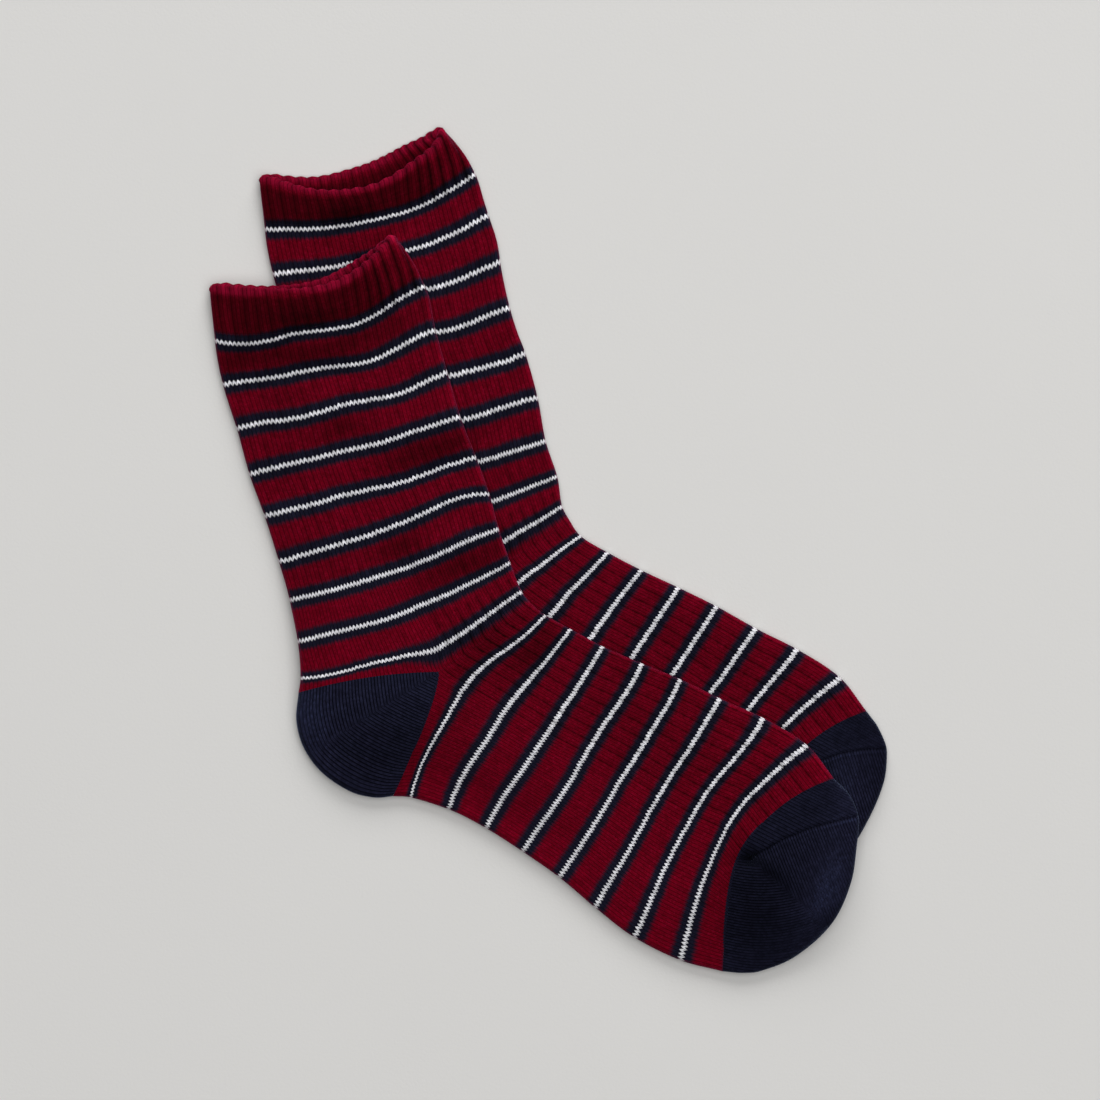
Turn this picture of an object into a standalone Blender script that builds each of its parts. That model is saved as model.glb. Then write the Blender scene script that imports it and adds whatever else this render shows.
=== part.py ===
"""A pair of crew socks laid flat on their sides, the top sock partly over the under sock.

Each sock is four closed cloth walls: the cuff, the tube of leg and foot, the heel pocket and the toe
pocket. Lengths in the tables are millimetres, +X to the toes, +Y to the cuffs, +Z up off the surface
that the socks lie on. A place on the cloth has two numbers: its course, counted down from the rim,
and its needle, 0 on the back fold, 36 on the side and 72 on the front fold of each panel.
"""

import math

import bmesh
import bpy
import numpy as np
from mathutils import Vector
from mathutils.bvhtree import BVHTree

MM = 0.001

# The knitting, in courses down the sock and needles across one panel.
SIDE, FRONT = 36.0, 72.0
RIB = 4.0  # needles in one rib: three knit, one purl
CUFF_END = 28.0
HEEL = 215.0
TOE = 401.0
SEAM_GAP = 0.36
CUFF_SEAM = 0.5  # courses left out between the cuff and the leg, about as wide as the seam gap
CORNER_SETBACK = 1.6  # the heel's tip stays this many seam gaps off the corner, so its edges clear it
CORNER_FADE = 30.0  # courses over which the bend at the heel corner eases out of the courses

# How the courses lie in plan, where the top sock lies: the back fold, the side and the front fold, and
# how far each half of the course bows towards the toe.
LEG = (
    # course, back x, back y, side x, side y, front x, front y, back bow, front bow
    (0, -127.5, 101.5, -90.0, 100.0, -58.5, 118.5, 1.0, 3.3),
    (32, -126.5, 80.0, -85.0, 83.5, -46.5, 100.5, 2.0, 2.5),
    (54, -122.5, 63.5, -81.5, 69.5, -42.5, 83.5, 0.2, 2.3),
    (76, -117.0, 46.0, -77.0, 55.5, -38.0, 67.5, 0.3, 2.0),
    (98, -112.5, 29.0, -72.5, 38.5, -33.0, 50.5, 0.0, 0.2),
    (120, -107.0, 13.0, -67.0, 23.0, -27.0, 35.0, 0.0, 0.0),
    (142, -102.0, -4.0, -61.0, 8.5, -22.0, 21.0, 0.7, -2.0),
    (164, -98.0, -19.0, -56.0, -7.5, -18.5, 8.0, 0.8, 0.5),
    (186, -94.5, -35.0, -50.0, -21.5, -14.0, -5.0, 0.3, 0.3),
    (208, -93.5, -48.5, -43.5, -38.0, -10.0, -15.5, -0.2, 1.6),
    (HEEL, -94.5, -54.0, -41.5, -46.0, -6.5, -20.0, -1.9, 0.6),
)
FOOT = (
    # course, sole x, sole y, side x, side y, instep x, instep y, sole bow, instep bow
    (HEEL, -59.0, -93.5, -41.5, -46.0, -6.5, -20.0, 1.3, 0.6),
    (230, -52.0, -94.0, -31.5, -53.0, -1.0, -24.5, -2.1, -1.1),
    (252, -36.5, -99.0, -15.5, -62.5, 9.0, -30.0, -1.9, 0.5),
    (274, -23.0, -106.0, -1.5, -71.0, 21.0, -36.5, -0.8, 0.5),
    (296, -9.0, -115.0, 13.5, -79.0, 36.0, -43.0, 0.0, 0.6),
    (318, 4.5, -124.5, 27.5, -87.0, 50.5, -49.0, 0.2, 0.8),
    (340, 18.0, -135.5, 40.5, -95.0, 66.0, -56.5, 0.2, 0.0),
    (362, 33.0, -146.5, 54.5, -103.0, 82.5, -64.0, -0.6, -1.5),
    (384, 51.0, -155.0, 65.5, -108.5, 98.5, -74.0, -1.5, -3.6),
    (TOE, 66.5, -159.0, 72.5, -116.5, 108.5, -86.5, -1.3, -4.9),
)
# The fold that closes the heel, as it lies.
HEEL_FOLD = (
    (-94.5, -54.0),
    (-95.8, -64.5),
    (-93.0, -75.0),
    (-86.0, -84.5),
    (-75.0, -91.8),
    (-66.0, -94.0),
    (-59.0, -93.5),
)
TOE_END_REACH = 6.0  # how far along the toe fold the last course starts from the toe line

# Cloth thickness and depth of the rib by course.
CLOTH = (
    # course, wall, rib depth
    (0, 2.2, 0.65),
    (20, 2.1, 0.65),
    (CUFF_END, 1.7, 0.5),
    (40, 1.5, 0.4),
    (186, 1.5, 0.35),
    (HEEL, 1.6, 0.3),
    (TOE - 8, 1.5, 0.4),
    (TOE, 1.6, 0.3),
)
POCKET_WALL = 1.6
EDGE_HOLLOW = 0.4  # half of the gap between the two panels at a fold
BACK_RIBS_END = (156.0, 168.0)  # courses over which the ribs of the back half run out above the ankle
FLAT_RISE = 4.4  # height of the upper panel where nothing puffs it up

# Soft high and low places of the upper panel: puffs, dents and creases.
SWELLS = (
    # x, y, half length, half width, turned to, height
    (-100.0, 98.0, 34.0, 11.0, 5.0, 1.0),
    (-66.0, 107.0, 13.0, 9.0, 30.0, 1.5),
    (-58.0, 92.0, 26.0, 3.5, -62.0, 0.7),
    (-92.0, 68.0, 26.0, 5.0, -35.0, -0.5),
    (-66.0, 58.0, 30.0, 6.0, -65.0, 0.6),
    (-92.0, 25.0, 40.0, 14.0, -73.0, 0.6),
    (-48.0, 15.0, 26.0, 6.0, -70.0, 0.7),
    (-31.0, -28.0, 20.0, 5.0, 42.0, 0.8),
    (-37.0, -40.0, 12.0, 3.5, 20.0, -0.6),
    (-76.0, -70.0, 20.0, 16.0, -40.0, 2.0),
    (-12.0, -78.0, 34.0, 16.0, -32.0, 0.9),
    (44.0, -84.0, 46.0, 18.0, -32.0, 1.0),
    (28.0, -64.0, 34.0, 4.0, -28.0, -0.4),
    (92.0, -126.0, 22.0, 17.0, -60.0, 2.3),
    (76.0, -116.5, 6.0, 4.0, 30.0, -1.9),
    (88.0, -112.0, 12.0, 2.5, 28.0, -0.9),
    (98.0, -96.0, 14.0, 6.0, 28.0, 0.6),
)

# At a mouth the upper rim drops and the lower rim reaches past it, by so much at each of these needles.
MOUTH_DEPTH = 26.0  # courses over which a mouth closes
MOUTH_NEEDLES = (0.0, 18.0, 36.0, 54.0, 72.0)

# From the bottom up: each sock lies on the one before it.
SOCKS = {
    "under_sock": {
        # course, the side's shift right and up, the front fold's shift right and up, front bow added
        "shift": (
            (0, 19.0, 42.0, 19.0, 42.5, 0.0),
            (54, 19.0, 42.0, 20.0, 43.0, 0.0),
            (98, 19.0, 41.5, 19.0, 41.8, 0.0),
            (120, 19.0, 40.5, 19.0, 40.5, 0.0),
            (142, 18.5, 37.5, 18.5, 37.3, 1.5),
            (164, 17.5, 36.0, 18.0, 34.0, 0.0),
            (186, 16.5, 35.0, 17.2, 32.8, 0.0),
            (208, 14.5, 35.0, 16.2, 32.4, 0.0),
            (230, 12.3, 33.0, 13.5, 30.0, 0.0),
            (252, 11.0, 31.5, 14.2, 29.0, 0.0),
            (274, 12.0, 30.5, 15.0, 28.8, 0.0),
            (296, 12.0, 30.0, 14.5, 28.5, 0.0),
            (340, 12.3, 27.5, 13.8, 26.5, 0.0),
            (384, 12.8, 25.5, 12.8, 25.5, 0.0),
            (430, 12.5, 25.5, 12.5, 25.5, 0.0),
        ),
        # how the cloth turns round the end of the toe, before the shift
        "toe_fold": (
            (66.5, -159.0),
            (77.5, -159.5),
            (90.5, -153.0),
            (101.0, -141.0),
            (109.5, -126.5),
            (115.3, -109.5),
            (114.5, -95.5),
            (108.5, -86.5),
        ),
        "rim_drop": (0.0, 3.0, 4.2, 2.0, 0.0),
        "far_reach": (0.0, 4.0, 6.4, 6.2, 0.0),
    },
    "top_sock": {
        "shift": ((0, 0.0, 0.0, 0.0, 0.0, 0.0), (430, 0.0, 0.0, 0.0, 0.0, 0.0)),
        "toe_fold": (
            (66.5, -159.0),
            (78.0, -160.0),
            (93.5, -153.5),
            (107.5, -141.0),
            (115.0, -126.0),
            (117.5, -109.0),
            (114.5, -95.5),
            (108.5, -86.5),
        ),
        "rim_drop": (0.0, 0.0, 0.0, 0.0, 0.0),
        "far_reach": (0.0, 0.6, 2.0, 5.0, 0.0),
    },
}

# How the top sock lies on the under sock: heights are felt for on a grid, each point takes the highest
# place near it, and the result is averaged twice, over fewer cells than that, so it stays clear.
LAY_CELL = 2.0
LAY_REACH = 7
LAY_AVERAGES = (4, 2)
LAY_GAP = 0.4
LAY_TOP = 60.0

# Stations across a half panel, in needles from a fold: one at each edge and foot of a rib.
RIB_EDGES = (1.1, 2.0, 2.9)
PLAIN_HALF = (0.0, 1.1, 2.7, 5.0, 8.0, 12.0, 16.0, 20.0, 24.0, 28.0, 32.0, SIDE)
INNER_HALF = (0.0, 6.0, 12.0, 18.0, 24.0, 30.0, SIDE)
RIBBED_HALF = (0.0,) + tuple(RIB * j + edge for j in range(9) for edge in RIB_EDGES) + (SIDE,)

CUFF_COURSES = (0.0, 2.0, 8.0, 18.0, CUFF_END)
LEG_STRIPS, ANKLE_COURSES = 10, (186.0, 200.0, HEEL)
FOOT_START, FOOT_STRIPS = (HEEL, 222.0, 230.0, 241.0, 256.0), 9
POCKET_SHARES = (0.0, 0.14, 0.3, 0.45, 0.6, 0.75, 0.88, 1.0)
TOE_SHARES = (0.0, 0.2, 0.42, 0.62, 0.8)

COLOURS = {
    # linear red, green, blue, roughness
    "burgundy_knit": (0.12, 0.004, 0.012, 0.9),
    "navy_knit": (0.008, 0.010, 0.026, 0.92),
}
PIECE_COLOURS = {"cuff": "burgundy_knit", "body": "burgundy_knit", "heel": "navy_knit", "toe": "navy_knit"}


def clear_scene():
    for thing in list(bpy.data.objects):
        bpy.data.objects.remove(thing, do_unlink=True)


def ease(t):
    """0 to 1 with soft ends."""
    t = np.clip(t, 0.0, 1.0)
    return t * t * (3.0 - 2.0 * t)


def along(knots, values, at):
    """A smooth curve through values at the knots, read at one place."""
    at = min(max(at, knots[0]), knots[-1])
    i = min(int(np.searchsorted(knots, at, side="right")) - 1, len(knots) - 2)

    def slope(k):
        low, high = max(k - 1, 0), min(k + 1, len(knots) - 1)
        return (values[high] - values[low]) / (knots[high] - knots[low])

    span = knots[i + 1] - knots[i]
    t = (at - knots[i]) / span
    return (
        values[i] * (1 + 2 * t) * (1 - t) ** 2
        + slope(i) * span * t * (1 - t) ** 2
        + values[i + 1] * t * t * (3 - 2 * t)
        + slope(i + 1) * span * t * t * (t - 1)
    )


def row_points(row):
    """Five places on a course: back fold, its half's middle, side, front half's middle, front fold."""
    back, side, front = (np.array(row[k : k + 2], float) for k in (1, 3, 5))

    def middle(a, b, bow):
        run = b - a
        down = np.array((run[1], -run[0])) / np.linalg.norm(run)
        return (a + b) / 2 + bow * down

    return np.array([back, middle(back, side, row[7]), side, middle(side, front, row[8]), front])


def folded_table(rows):
    return np.array([row[0] for row in rows], float), np.array([row_points(row) for row in rows])


LEG_KNOTS, LEG_POINTS = folded_table(LEG)
FOOT_KNOTS, FOOT_POINTS = folded_table(FOOT)
ALL_KNOTS = np.concatenate([LEG_KNOTS, FOOT_KNOTS[1:]])
ALL_POINTS = np.concatenate([LEG_POINTS, FOOT_POINTS[1:]])


def course_points(course, foot):
    """The five places of any course. The back half of the heel course is asked for as leg or as foot."""
    front = along(ALL_KNOTS, ALL_POINTS, course)
    back = along(FOOT_KNOTS, FOOT_POINTS, course) if foot else along(LEG_KNOTS, LEG_POINTS, course)
    return np.concatenate([back[:2], front[2:]])


def course_length(points):
    return float(np.linalg.norm(np.diff(points, axis=0), axis=1).sum())


def course_place(points, share, smoothing):
    """A place at a share of the course. Smoothing 0 leaves the heel's corner at the side, 1 rounds it."""

    def half(a, m, b, t):
        return a * (1 - t) * (1 - 2 * t) + 4 * m * t * (1 - t) + b * t * (2 * t - 1)

    end_slope = points[0] - 4 * points[1] + 3 * points[2]
    start_slope = -3 * points[2] + 4 * points[3] - points[4]
    turn = smoothing * (start_slope - end_slope) / 2
    if share <= 0.5:
        t = 2 * share
        return half(points[0], points[1], points[2], t) + turn * t * t * (t - 1) * (2 * t - 1)
    t = 2 * share - 1
    back = 1 - t
    return half(points[2], points[3], points[4], t) + turn * back * back * (back - 1) * (2 * back - 1)


def cloth_at(course):
    knots = [row[0] for row in CLOTH]
    wall = float(np.interp(course, knots, [row[1] for row in CLOTH]))
    rib = float(np.interp(course, knots, [row[2] for row in CLOTH]))
    return wall, rib


def swell(x, y):
    """Height of the upper panel over the flat lay, from the sock's own puffs and dents."""
    total = 0.0
    for cx, cy, half_length, half_width, turned, height in SWELLS:
        angle = math.radians(turned)
        u = (x - cx) * math.cos(angle) + (y - cy) * math.sin(angle)
        v = (y - cy) * math.cos(angle) - (x - cx) * math.sin(angle)
        total += height * math.exp(-((u / half_length) ** 2) - (v / half_width) ** 2)
    return total


def fold_profile(distance, radius):
    """Half-height of the panel at a distance in from a fold of that radius."""
    if distance >= radius:
        return radius
    return math.sqrt(max(radius**2 - (radius - distance) ** 2, 0.0))


def across(needle, width, radius, inset=0.0):
    """Distance from the back fold and half-height there, for a needle of one panel, round both folds."""
    bent = radius * math.pi / 2
    flat = width - 2 * inset - 2 * radius
    run = needle / FRONT * (flat + 2 * bent)
    if run < bent:
        angle = run / radius
        return inset + radius * (1 - math.cos(angle)), radius * math.sin(angle), angle
    if run > flat + bent:
        angle = (flat + 2 * bent - run) / radius
        return width - inset - radius * (1 - math.cos(angle)), radius * math.sin(angle), angle
    return inset + radius + run - bent, radius, math.pi / 2


def rib_relief(needle, depth, course):
    """How far the cloth's face lies below the tops of its ribs."""
    from_purl = abs((needle % RIB) - RIB / 2)
    if needle < SIDE:
        first, last = BACK_RIBS_END
        depth *= 1 - float(ease((course - first) / (last - first)))
    return depth * (1 - float(ease(from_purl / 0.9)))


class Sock:
    """One sock: where any place of its cloth lies, inside and outside."""

    def __init__(self, spec, lay=None):
        self.spec = spec
        self.lay = lay  # the height of what the sock lies on, by place; the surface itself if none

    def shifted(self, place, course, share):
        """A plan place moved to where this sock lies, by its share of the course."""
        rows = self.spec["shift"]
        knots = np.array([row[0] for row in rows], float)
        shift = along(knots, np.array([row[1:] for row in rows], float), course)
        forward = max(2 * share - 1, 0.0)
        bowed = 4 * forward * (1 - forward) * shift[4] * self.down(course, share, course > HEEL)
        return place + (1 - forward) * shift[:2] + forward * shift[2:4] + bowed

    def mouth(self, course, needle, far):
        """How far a panel is drawn down the sock (or up, below zero) near the mouth."""
        open_share = float(ease(1 - course / MOUTH_DEPTH))
        drop = float(along(np.array(MOUTH_NEEDLES), np.array(self.spec["rim_drop"]), needle))
        reach = float(along(np.array(MOUTH_NEEDLES), np.array(self.spec["far_reach"]), needle))
        return open_share * (drop - (reach if far else 0.0))

    def base(self, place):
        return self.lay(place[0], place[1]) if self.lay else 0.0

    def lifted(self, place, half_height, top, wall, far, inner):
        """The point over a place of the plan. Half-height runs from 0 at a fold to the fold's radius."""
        radius = wall + EDGE_HOLLOW
        ground = self.base(place)
        if inner:
            share = half_height / EDGE_HOLLOW
            rise = radius - share * EDGE_HOLLOW if far else radius + share * (top - wall - radius)
        else:
            share = half_height / radius
            rise = radius - share * radius if far else radius + share * (top - radius)
        return (place[0], place[1], ground + rise)

    def tube_point(self, course, needle, far=False, inner=False, foot=False, ribbed=True):
        """A point of the cuff, leg or foot."""
        wall, rib = cloth_at(course)
        points = course_points(course, foot)
        width = course_length(points)
        radius = EDGE_HOLLOW if inner else wall + EDGE_HOLLOW
        distance, half_height, angle = across(needle, width, radius, wall if inner else 0.0)
        relief = rib_relief(needle, rib, course) if ribbed and not (far or inner) else 0.0
        inward = relief * math.cos(angle)
        distance += inward if needle < SIDE else -inward
        share = min(max(distance / width, 0.0), 1.0)
        smoothing = float(ease(abs(course - HEEL) / CORNER_FADE))
        place = course_place(points, share, smoothing)
        down = self.down(course, share, foot)
        place = place + down * self.mouth(course, needle, far)
        top = FLAT_RISE + 2 * (wall - POCKET_WALL) + swell(*place)
        x, y, z = self.lifted(self.shifted(place, course, share), half_height, top, wall, far, inner)
        return (x, y, z - relief * math.sin(angle))

    def down(self, course, share, foot):
        """The direction along the sock, towards its toe."""
        points = course_points(course, foot)
        step = 0.02
        low, high = max(share - step, 0.0), min(share + step, 1.0)
        run = course_place(points, high, 0.0) - course_place(points, low, 0.0)
        return np.array((run[1], -run[0])) / np.linalg.norm(run)

    def pocket_point(self, place, course, share, needle, width, far, inner, to_fold=None):
        """A point of the heel or the toe, at a plan place whose course has this width."""
        radius = EDGE_HOLLOW if inner else POCKET_WALL + EDGE_HOLLOW
        _, half_height, _ = across(needle, width, radius, POCKET_WALL if inner else 0.0)
        if to_fold is not None:
            half_height *= fold_profile(to_fold, radius) / radius
        top = FLAT_RISE + swell(*place)
        return self.lifted(self.shifted(place, course, share), half_height, top, POCKET_WALL, far, inner)

    # The heel: a fan round the corner on the side, from the leg's edge to the sole's edge.

    def heel_point(self, share, needle, far, inner):
        """Share 0 is the edge at the leg, 1 the edge at the sole. Needle 36 is the corner."""
        leg = course_points(HEEL, False)
        sole = course_points(HEEL, True)
        corner = leg[2]
        fold = spread(HEEL_FOLD, share)
        width = 2 * float(np.linalg.norm(fold - corner))
        inset = POCKET_WALL if inner else 0.0
        radius = EDGE_HOLLOW if inner else POCKET_WALL + EDGE_HOLLOW
        distance, _, _ = across(needle, width, radius, inset)
        out = 1 - 2 * distance / width

        def edge(points, side):
            tangent = points[0] - corner
            tangent = tangent / np.linalg.norm(tangent)
            normal = side * np.array((-tangent[1], tangent[0]))
            moved = SEAM_GAP * normal + SEAM_GAP * CORNER_SETBACK * tangent * (1 - out) ** 8
            return course_place(points, (1 - out) / 2, 0.0) + moved

        upper, lower = edge(leg, 1.0), edge(sole, -1.0)
        spoke = corner + out * (fold - corner)
        at_leg = upper - (corner + out * (leg[0] - corner))
        at_sole = lower - (corner + out * (sole[0] - corner))
        place = spoke + (1 - share) ** 2 * at_leg + share**2 * at_sole
        return self.pocket_point(place, HEEL, 0.0, needle, width, far, inner)

    def toe_point(self, share, needle, far, inner):
        """Share 0 is the toe line, 1 the fold round the end."""
        line = course_points(TOE, True)
        width = course_length(line) * (1 - 0.3 * share)
        inset = POCKET_WALL if inner else 0.0
        radius = EDGE_HOLLOW if inner else POCKET_WALL + EDGE_HOLLOW
        distance, _, _ = across(needle, width, radius, inset)
        at = distance / width
        start = course_place(line, at, 1.0) + SEAM_GAP * self.down(TOE, at, True)
        end = self.toe_end(at, inset)
        reach = float(np.linalg.norm(end - start))
        place = start + share * (end - start)
        return self.pocket_point(place, TOE, at, needle, width, far, inner, (1 - share) * reach)

    def toe_end(self, at, inset):
        """The last course of the toe, along the fold round its end, at a share from sole to instep."""
        fold = self.spec["toe_fold"]
        length = float(np.linalg.norm(np.diff(np.array(fold), axis=0), axis=1).sum())
        first = TOE_END_REACH / length
        share = first + at * (1 - 2 * first)
        place = spread(fold, share)
        if inset:
            run = spread(fold, min(share + 0.01, 1.0)) - spread(fold, max(share - 0.01, 0.0))
            place = place + inset * np.array((-run[1], run[0])) / np.linalg.norm(run)
        return place

    def toe_shares(self, inner):
        """Courses of the toe, close together where they turn over the fold at its end."""
        if inner:
            return TOE_SHARES + (1.0,)
        return TOE_SHARES + (0.93, 0.985, 1.0)


def spread(points, share):
    """A smooth curve through the points, read at a share of its length."""
    points = np.array(points, float)
    knots = np.concatenate([[0.0], np.cumsum(np.linalg.norm(np.diff(points, axis=0), axis=1))])
    return along(knots, points, share * knots[-1])


class Wall:
    """The points and faces of one closed cloth wall."""

    def __init__(self):
        self.points = []
        self.faces = []

    def line(self, places, shared=None):
        """Adds a line of points and gives its indices. Shared ends are reused, as {position: index}."""
        shared = shared or {}
        ids = []
        for k, place in enumerate(places):
            if k in shared:
                ids.append(shared[k])
                continue
            ids.append(len(self.points))
            self.points.append(place)
        return ids

    def face(self, ids):
        whole = [i for k, i in enumerate(ids) if i != ids[k - 1]]
        if len(whole) > 2:
            self.faces.append(whole)

    def strip(self, first, second):
        """Faces between two lines of as many points."""
        for k in range(len(first) - 1):
            self.face([first[k], first[k + 1], second[k + 1], second[k]])

    def rim(self, outer, outer_at, inner, inner_at):
        """Closes the wall between an outer and an inner line whose stations differ."""
        places = [int(np.argmin(np.abs(np.array(outer_at) - at))) for at in inner_at]
        for k in range(len(inner) - 1):
            a, b = places[k], places[k + 1]
            self.face(outer[a : b + 1] + [inner[k + 1], inner[k]])


def mirrored(half):
    return tuple(FRONT - needle for needle in reversed(half))


def quarters(near_back, near_front, far_half):
    """Stations round the sock: near panel from back fold to front fold, far panel back again."""
    return (
        (near_back, False),
        (mirrored(near_front), False),
        (tuple(reversed(mirrored(far_half))), True),
        (tuple(reversed(far_half)), True),
    )


RIBBED_ROUND = quarters(RIBBED_HALF, RIBBED_HALF, PLAIN_HALF)
FOOT_ROUND = quarters(PLAIN_HALF, RIBBED_HALF, PLAIN_HALF)
PLAIN_ROUND = quarters(PLAIN_HALF, PLAIN_HALF, PLAIN_HALF)
INNER_ROUND = quarters(INNER_HALF, INNER_HALF, INNER_HALF)


def ring(wall, round_stations, point, ready=None):
    """One course round the sock as four lines that share their ends. Ready lines are kept."""
    lines = [None] * 4 if ready is None else list(ready)
    for k, (stations, far) in enumerate(round_stations):
        if lines[k] is not None:
            continue
        shared = {}
        before, after = lines[k - 1], lines[(k + 1) % 4]
        if before is not None:
            shared[0] = before[-1]
        if after is not None:
            shared[len(stations) - 1] = after[0]
        lines[k] = wall.line([point(needle, far) for needle in stations], shared)
    return lines


def join_rings(wall, rings):
    for first, second in zip(rings, rings[1:]):
        for a, b in zip(first, second):
            wall.strip(a, b)


def close_rim(wall, outer, outer_round, inner, inner_round, which=(0, 1, 2, 3)):
    for k in which:
        wall.rim(outer[k], outer_round[k][0], inner[k], inner_round[k][0])


def cuff_wall(sock):
    wall = Wall()
    sides = {}
    for inner, stations in ((False, RIBBED_ROUND), (True, INNER_ROUND)):
        sides[inner] = [
            ring(wall, stations, lambda n, far, c=c, i=inner: sock.tube_point(c, n, far, i))
            for c in CUFF_COURSES
        ]
        join_rings(wall, sides[inner])
    for k in (0, -1):
        close_rim(wall, sides[False][k], RIBBED_ROUND, sides[True][k], INNER_ROUND)
    return wall


def body_wall(sock):
    """The leg and the foot in one wall, slit where the heel goes in."""
    wall = Wall()
    first = CUFF_END + CUFF_SEAM
    leg_courses = list(np.linspace(first, ANKLE_COURSES[0], LEG_STRIPS + 1)) + list(ANKLE_COURSES[1:])
    foot_courses = list(FOOT_START) + list(np.linspace(FOOT_START[-1], TOE, FOOT_STRIPS + 1)[1:])
    ends, slits = {}, {}
    for inner, leg_round, foot_round in (
        (False, RIBBED_ROUND, FOOT_ROUND),
        (True, INNER_ROUND, INNER_ROUND),
    ):
        leg = [
            ring(wall, leg_round, lambda n, far, c=c, i=inner: sock.tube_point(c, n, far, i))
            for c in leg_courses
        ]

        def foot_point(n, far, c, i=inner):
            ribbed = n >= SIDE
            return sock.tube_point(c, n, far, i, foot=True, ribbed=ribbed)

        heel_row = leg[-1]
        ready = [None, heel_row[1], heel_row[2], None]
        start = ring(wall, foot_round, lambda n, far: foot_point(n, far, HEEL), ready)
        foot = [start] + [
            ring(wall, foot_round, lambda n, far, c=c: foot_point(n, far, c)) for c in foot_courses[1:]
        ]
        join_rings(wall, leg)
        join_rings(wall, foot)
        ends[inner] = (leg[0], foot[-1])
        slits[inner] = (heel_row, start)
    close_rim(wall, ends[False][0], RIBBED_ROUND, ends[True][0], INNER_ROUND)
    close_rim(wall, ends[False][1], FOOT_ROUND, ends[True][1], INNER_ROUND)
    close_rim(wall, slits[False][0], RIBBED_ROUND, slits[True][0], INNER_ROUND, (0, 3))
    close_rim(wall, slits[False][1], FOOT_ROUND, slits[True][1], INNER_ROUND, (0, 3))
    return wall


def heel_wall(sock):
    wall = Wall()
    edges = {}
    for inner, half in ((False, PLAIN_HALF), (True, INNER_HALF)):
        lines = []
        for share in POCKET_SHARES:
            near = [sock.heel_point(share, n, False, inner) for n in reversed(half)]
            far = [sock.heel_point(share, n, True, inner) for n in half[1:]]
            shared = {0: lines[0][0], len(near + far) - 1: lines[0][-1]} if lines else {}
            lines.append(wall.line(near + far, shared))
        for first, second in zip(lines, lines[1:]):
            wall.strip(first, second)
        run = [SIDE - n for n in reversed(half)] + [SIDE + n for n in half[1:]]
        edges[inner] = (lines, run)
    for k in (0, -1):
        wall.rim(edges[False][0][k], edges[False][1], edges[True][0][k], edges[True][1])
    return wall


def toe_wall(sock):
    wall = Wall()
    first = {}
    for inner, stations in ((False, PLAIN_ROUND), (True, INNER_ROUND)):
        shares = sock.toe_shares(inner)
        rings = [
            ring(wall, stations, lambda n, far, s=s, i=inner: sock.toe_point(s, n, far, i))
            for s in shares[:-1]
        ]
        last = ring(wall, stations[:2], lambda n, far, i=inner: sock.toe_point(1.0, n, far, i))
        last[2:] = [last[1][::-1], last[0][::-1]]
        join_rings(wall, rings + [last])
        first[inner] = rings[0]
    close_rim(wall, first[False], PLAIN_ROUND, first[True], INNER_ROUND)
    return wall


def finish_wall(name, wall, material):
    mesh = bpy.data.meshes.new(name)
    mesh.from_pydata([tuple(MM * v for v in place) for place in wall.points], [], wall.faces)
    shape = bmesh.new()
    shape.from_mesh(mesh)
    bmesh.ops.recalc_face_normals(shape, faces=shape.faces)
    shape.to_mesh(mesh)
    shape.free()
    mesh.shade_smooth()
    mesh.materials.append(material)
    thing = bpy.data.objects.new(name, mesh)
    bpy.context.scene.collection.objects.link(thing)
    return thing


def knit_material(name):
    red, green, blue, roughness = COLOURS[name]
    material = bpy.data.materials.new(name)
    material.use_nodes = True
    shader = material.node_tree.nodes["Principled BSDF"]
    shader.inputs["Base Color"].default_value = (red, green, blue, 1.0)
    shader.inputs["Roughness"].default_value = roughness
    shader.inputs["Metallic"].default_value = 0.0
    return material


def windowed(grid, reach, combine):
    """The grid with each value combined with its neighbours, up to reach cells away, across and along."""
    for axis in (0, 1):
        grid = combine([np.roll(grid, step, axis=axis) for step in range(-reach, reach + 1)])
    return grid


def lay_over(walls):
    """The height at which cloth laid over these walls rests, as a function of the plan, in mm."""
    points, faces = [], []
    for wall in walls:
        start = len(points)
        points += [Vector(place) for place in wall.points]
        faces += [[start + i for i in face] for face in wall.faces]
    tree = BVHTree.FromPolygons(points, faces)
    plan = np.array([place[:2] for place in points])
    margin = 2 * LAY_CELL * (LAY_REACH + sum(LAY_AVERAGES))
    low, high = plan.min(axis=0) - margin, plan.max(axis=0) + margin
    xs = np.arange(low[0], high[0], LAY_CELL)
    ys = np.arange(low[1], high[1], LAY_CELL)
    heights = np.zeros((len(xs), len(ys)))
    for i, x in enumerate(xs):
        for j, y in enumerate(ys):
            hit = tree.ray_cast(Vector((x, y, LAY_TOP)), Vector((0, 0, -1)))[0]
            heights[i, j] = hit.z + LAY_GAP if hit else 0.0
    soft = windowed(heights, LAY_REACH, lambda grids: np.max(grids, axis=0))
    for reach in LAY_AVERAGES:
        soft = windowed(soft, reach, lambda grids: np.mean(grids, axis=0))

    def height(x, y):
        u, v = (x - xs[0]) / LAY_CELL, (y - ys[0]) / LAY_CELL
        if not (0 <= u < len(xs) - 1 and 0 <= v < len(ys) - 1):
            return 0.0
        i, j = int(u), int(v)
        s, t = u - i, v - j
        return float(
            soft[i, j] * (1 - s) * (1 - t)
            + soft[i + 1, j] * s * (1 - t)
            + soft[i, j + 1] * (1 - s) * t
            + soft[i + 1, j + 1] * s * t
        )

    return height


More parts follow.
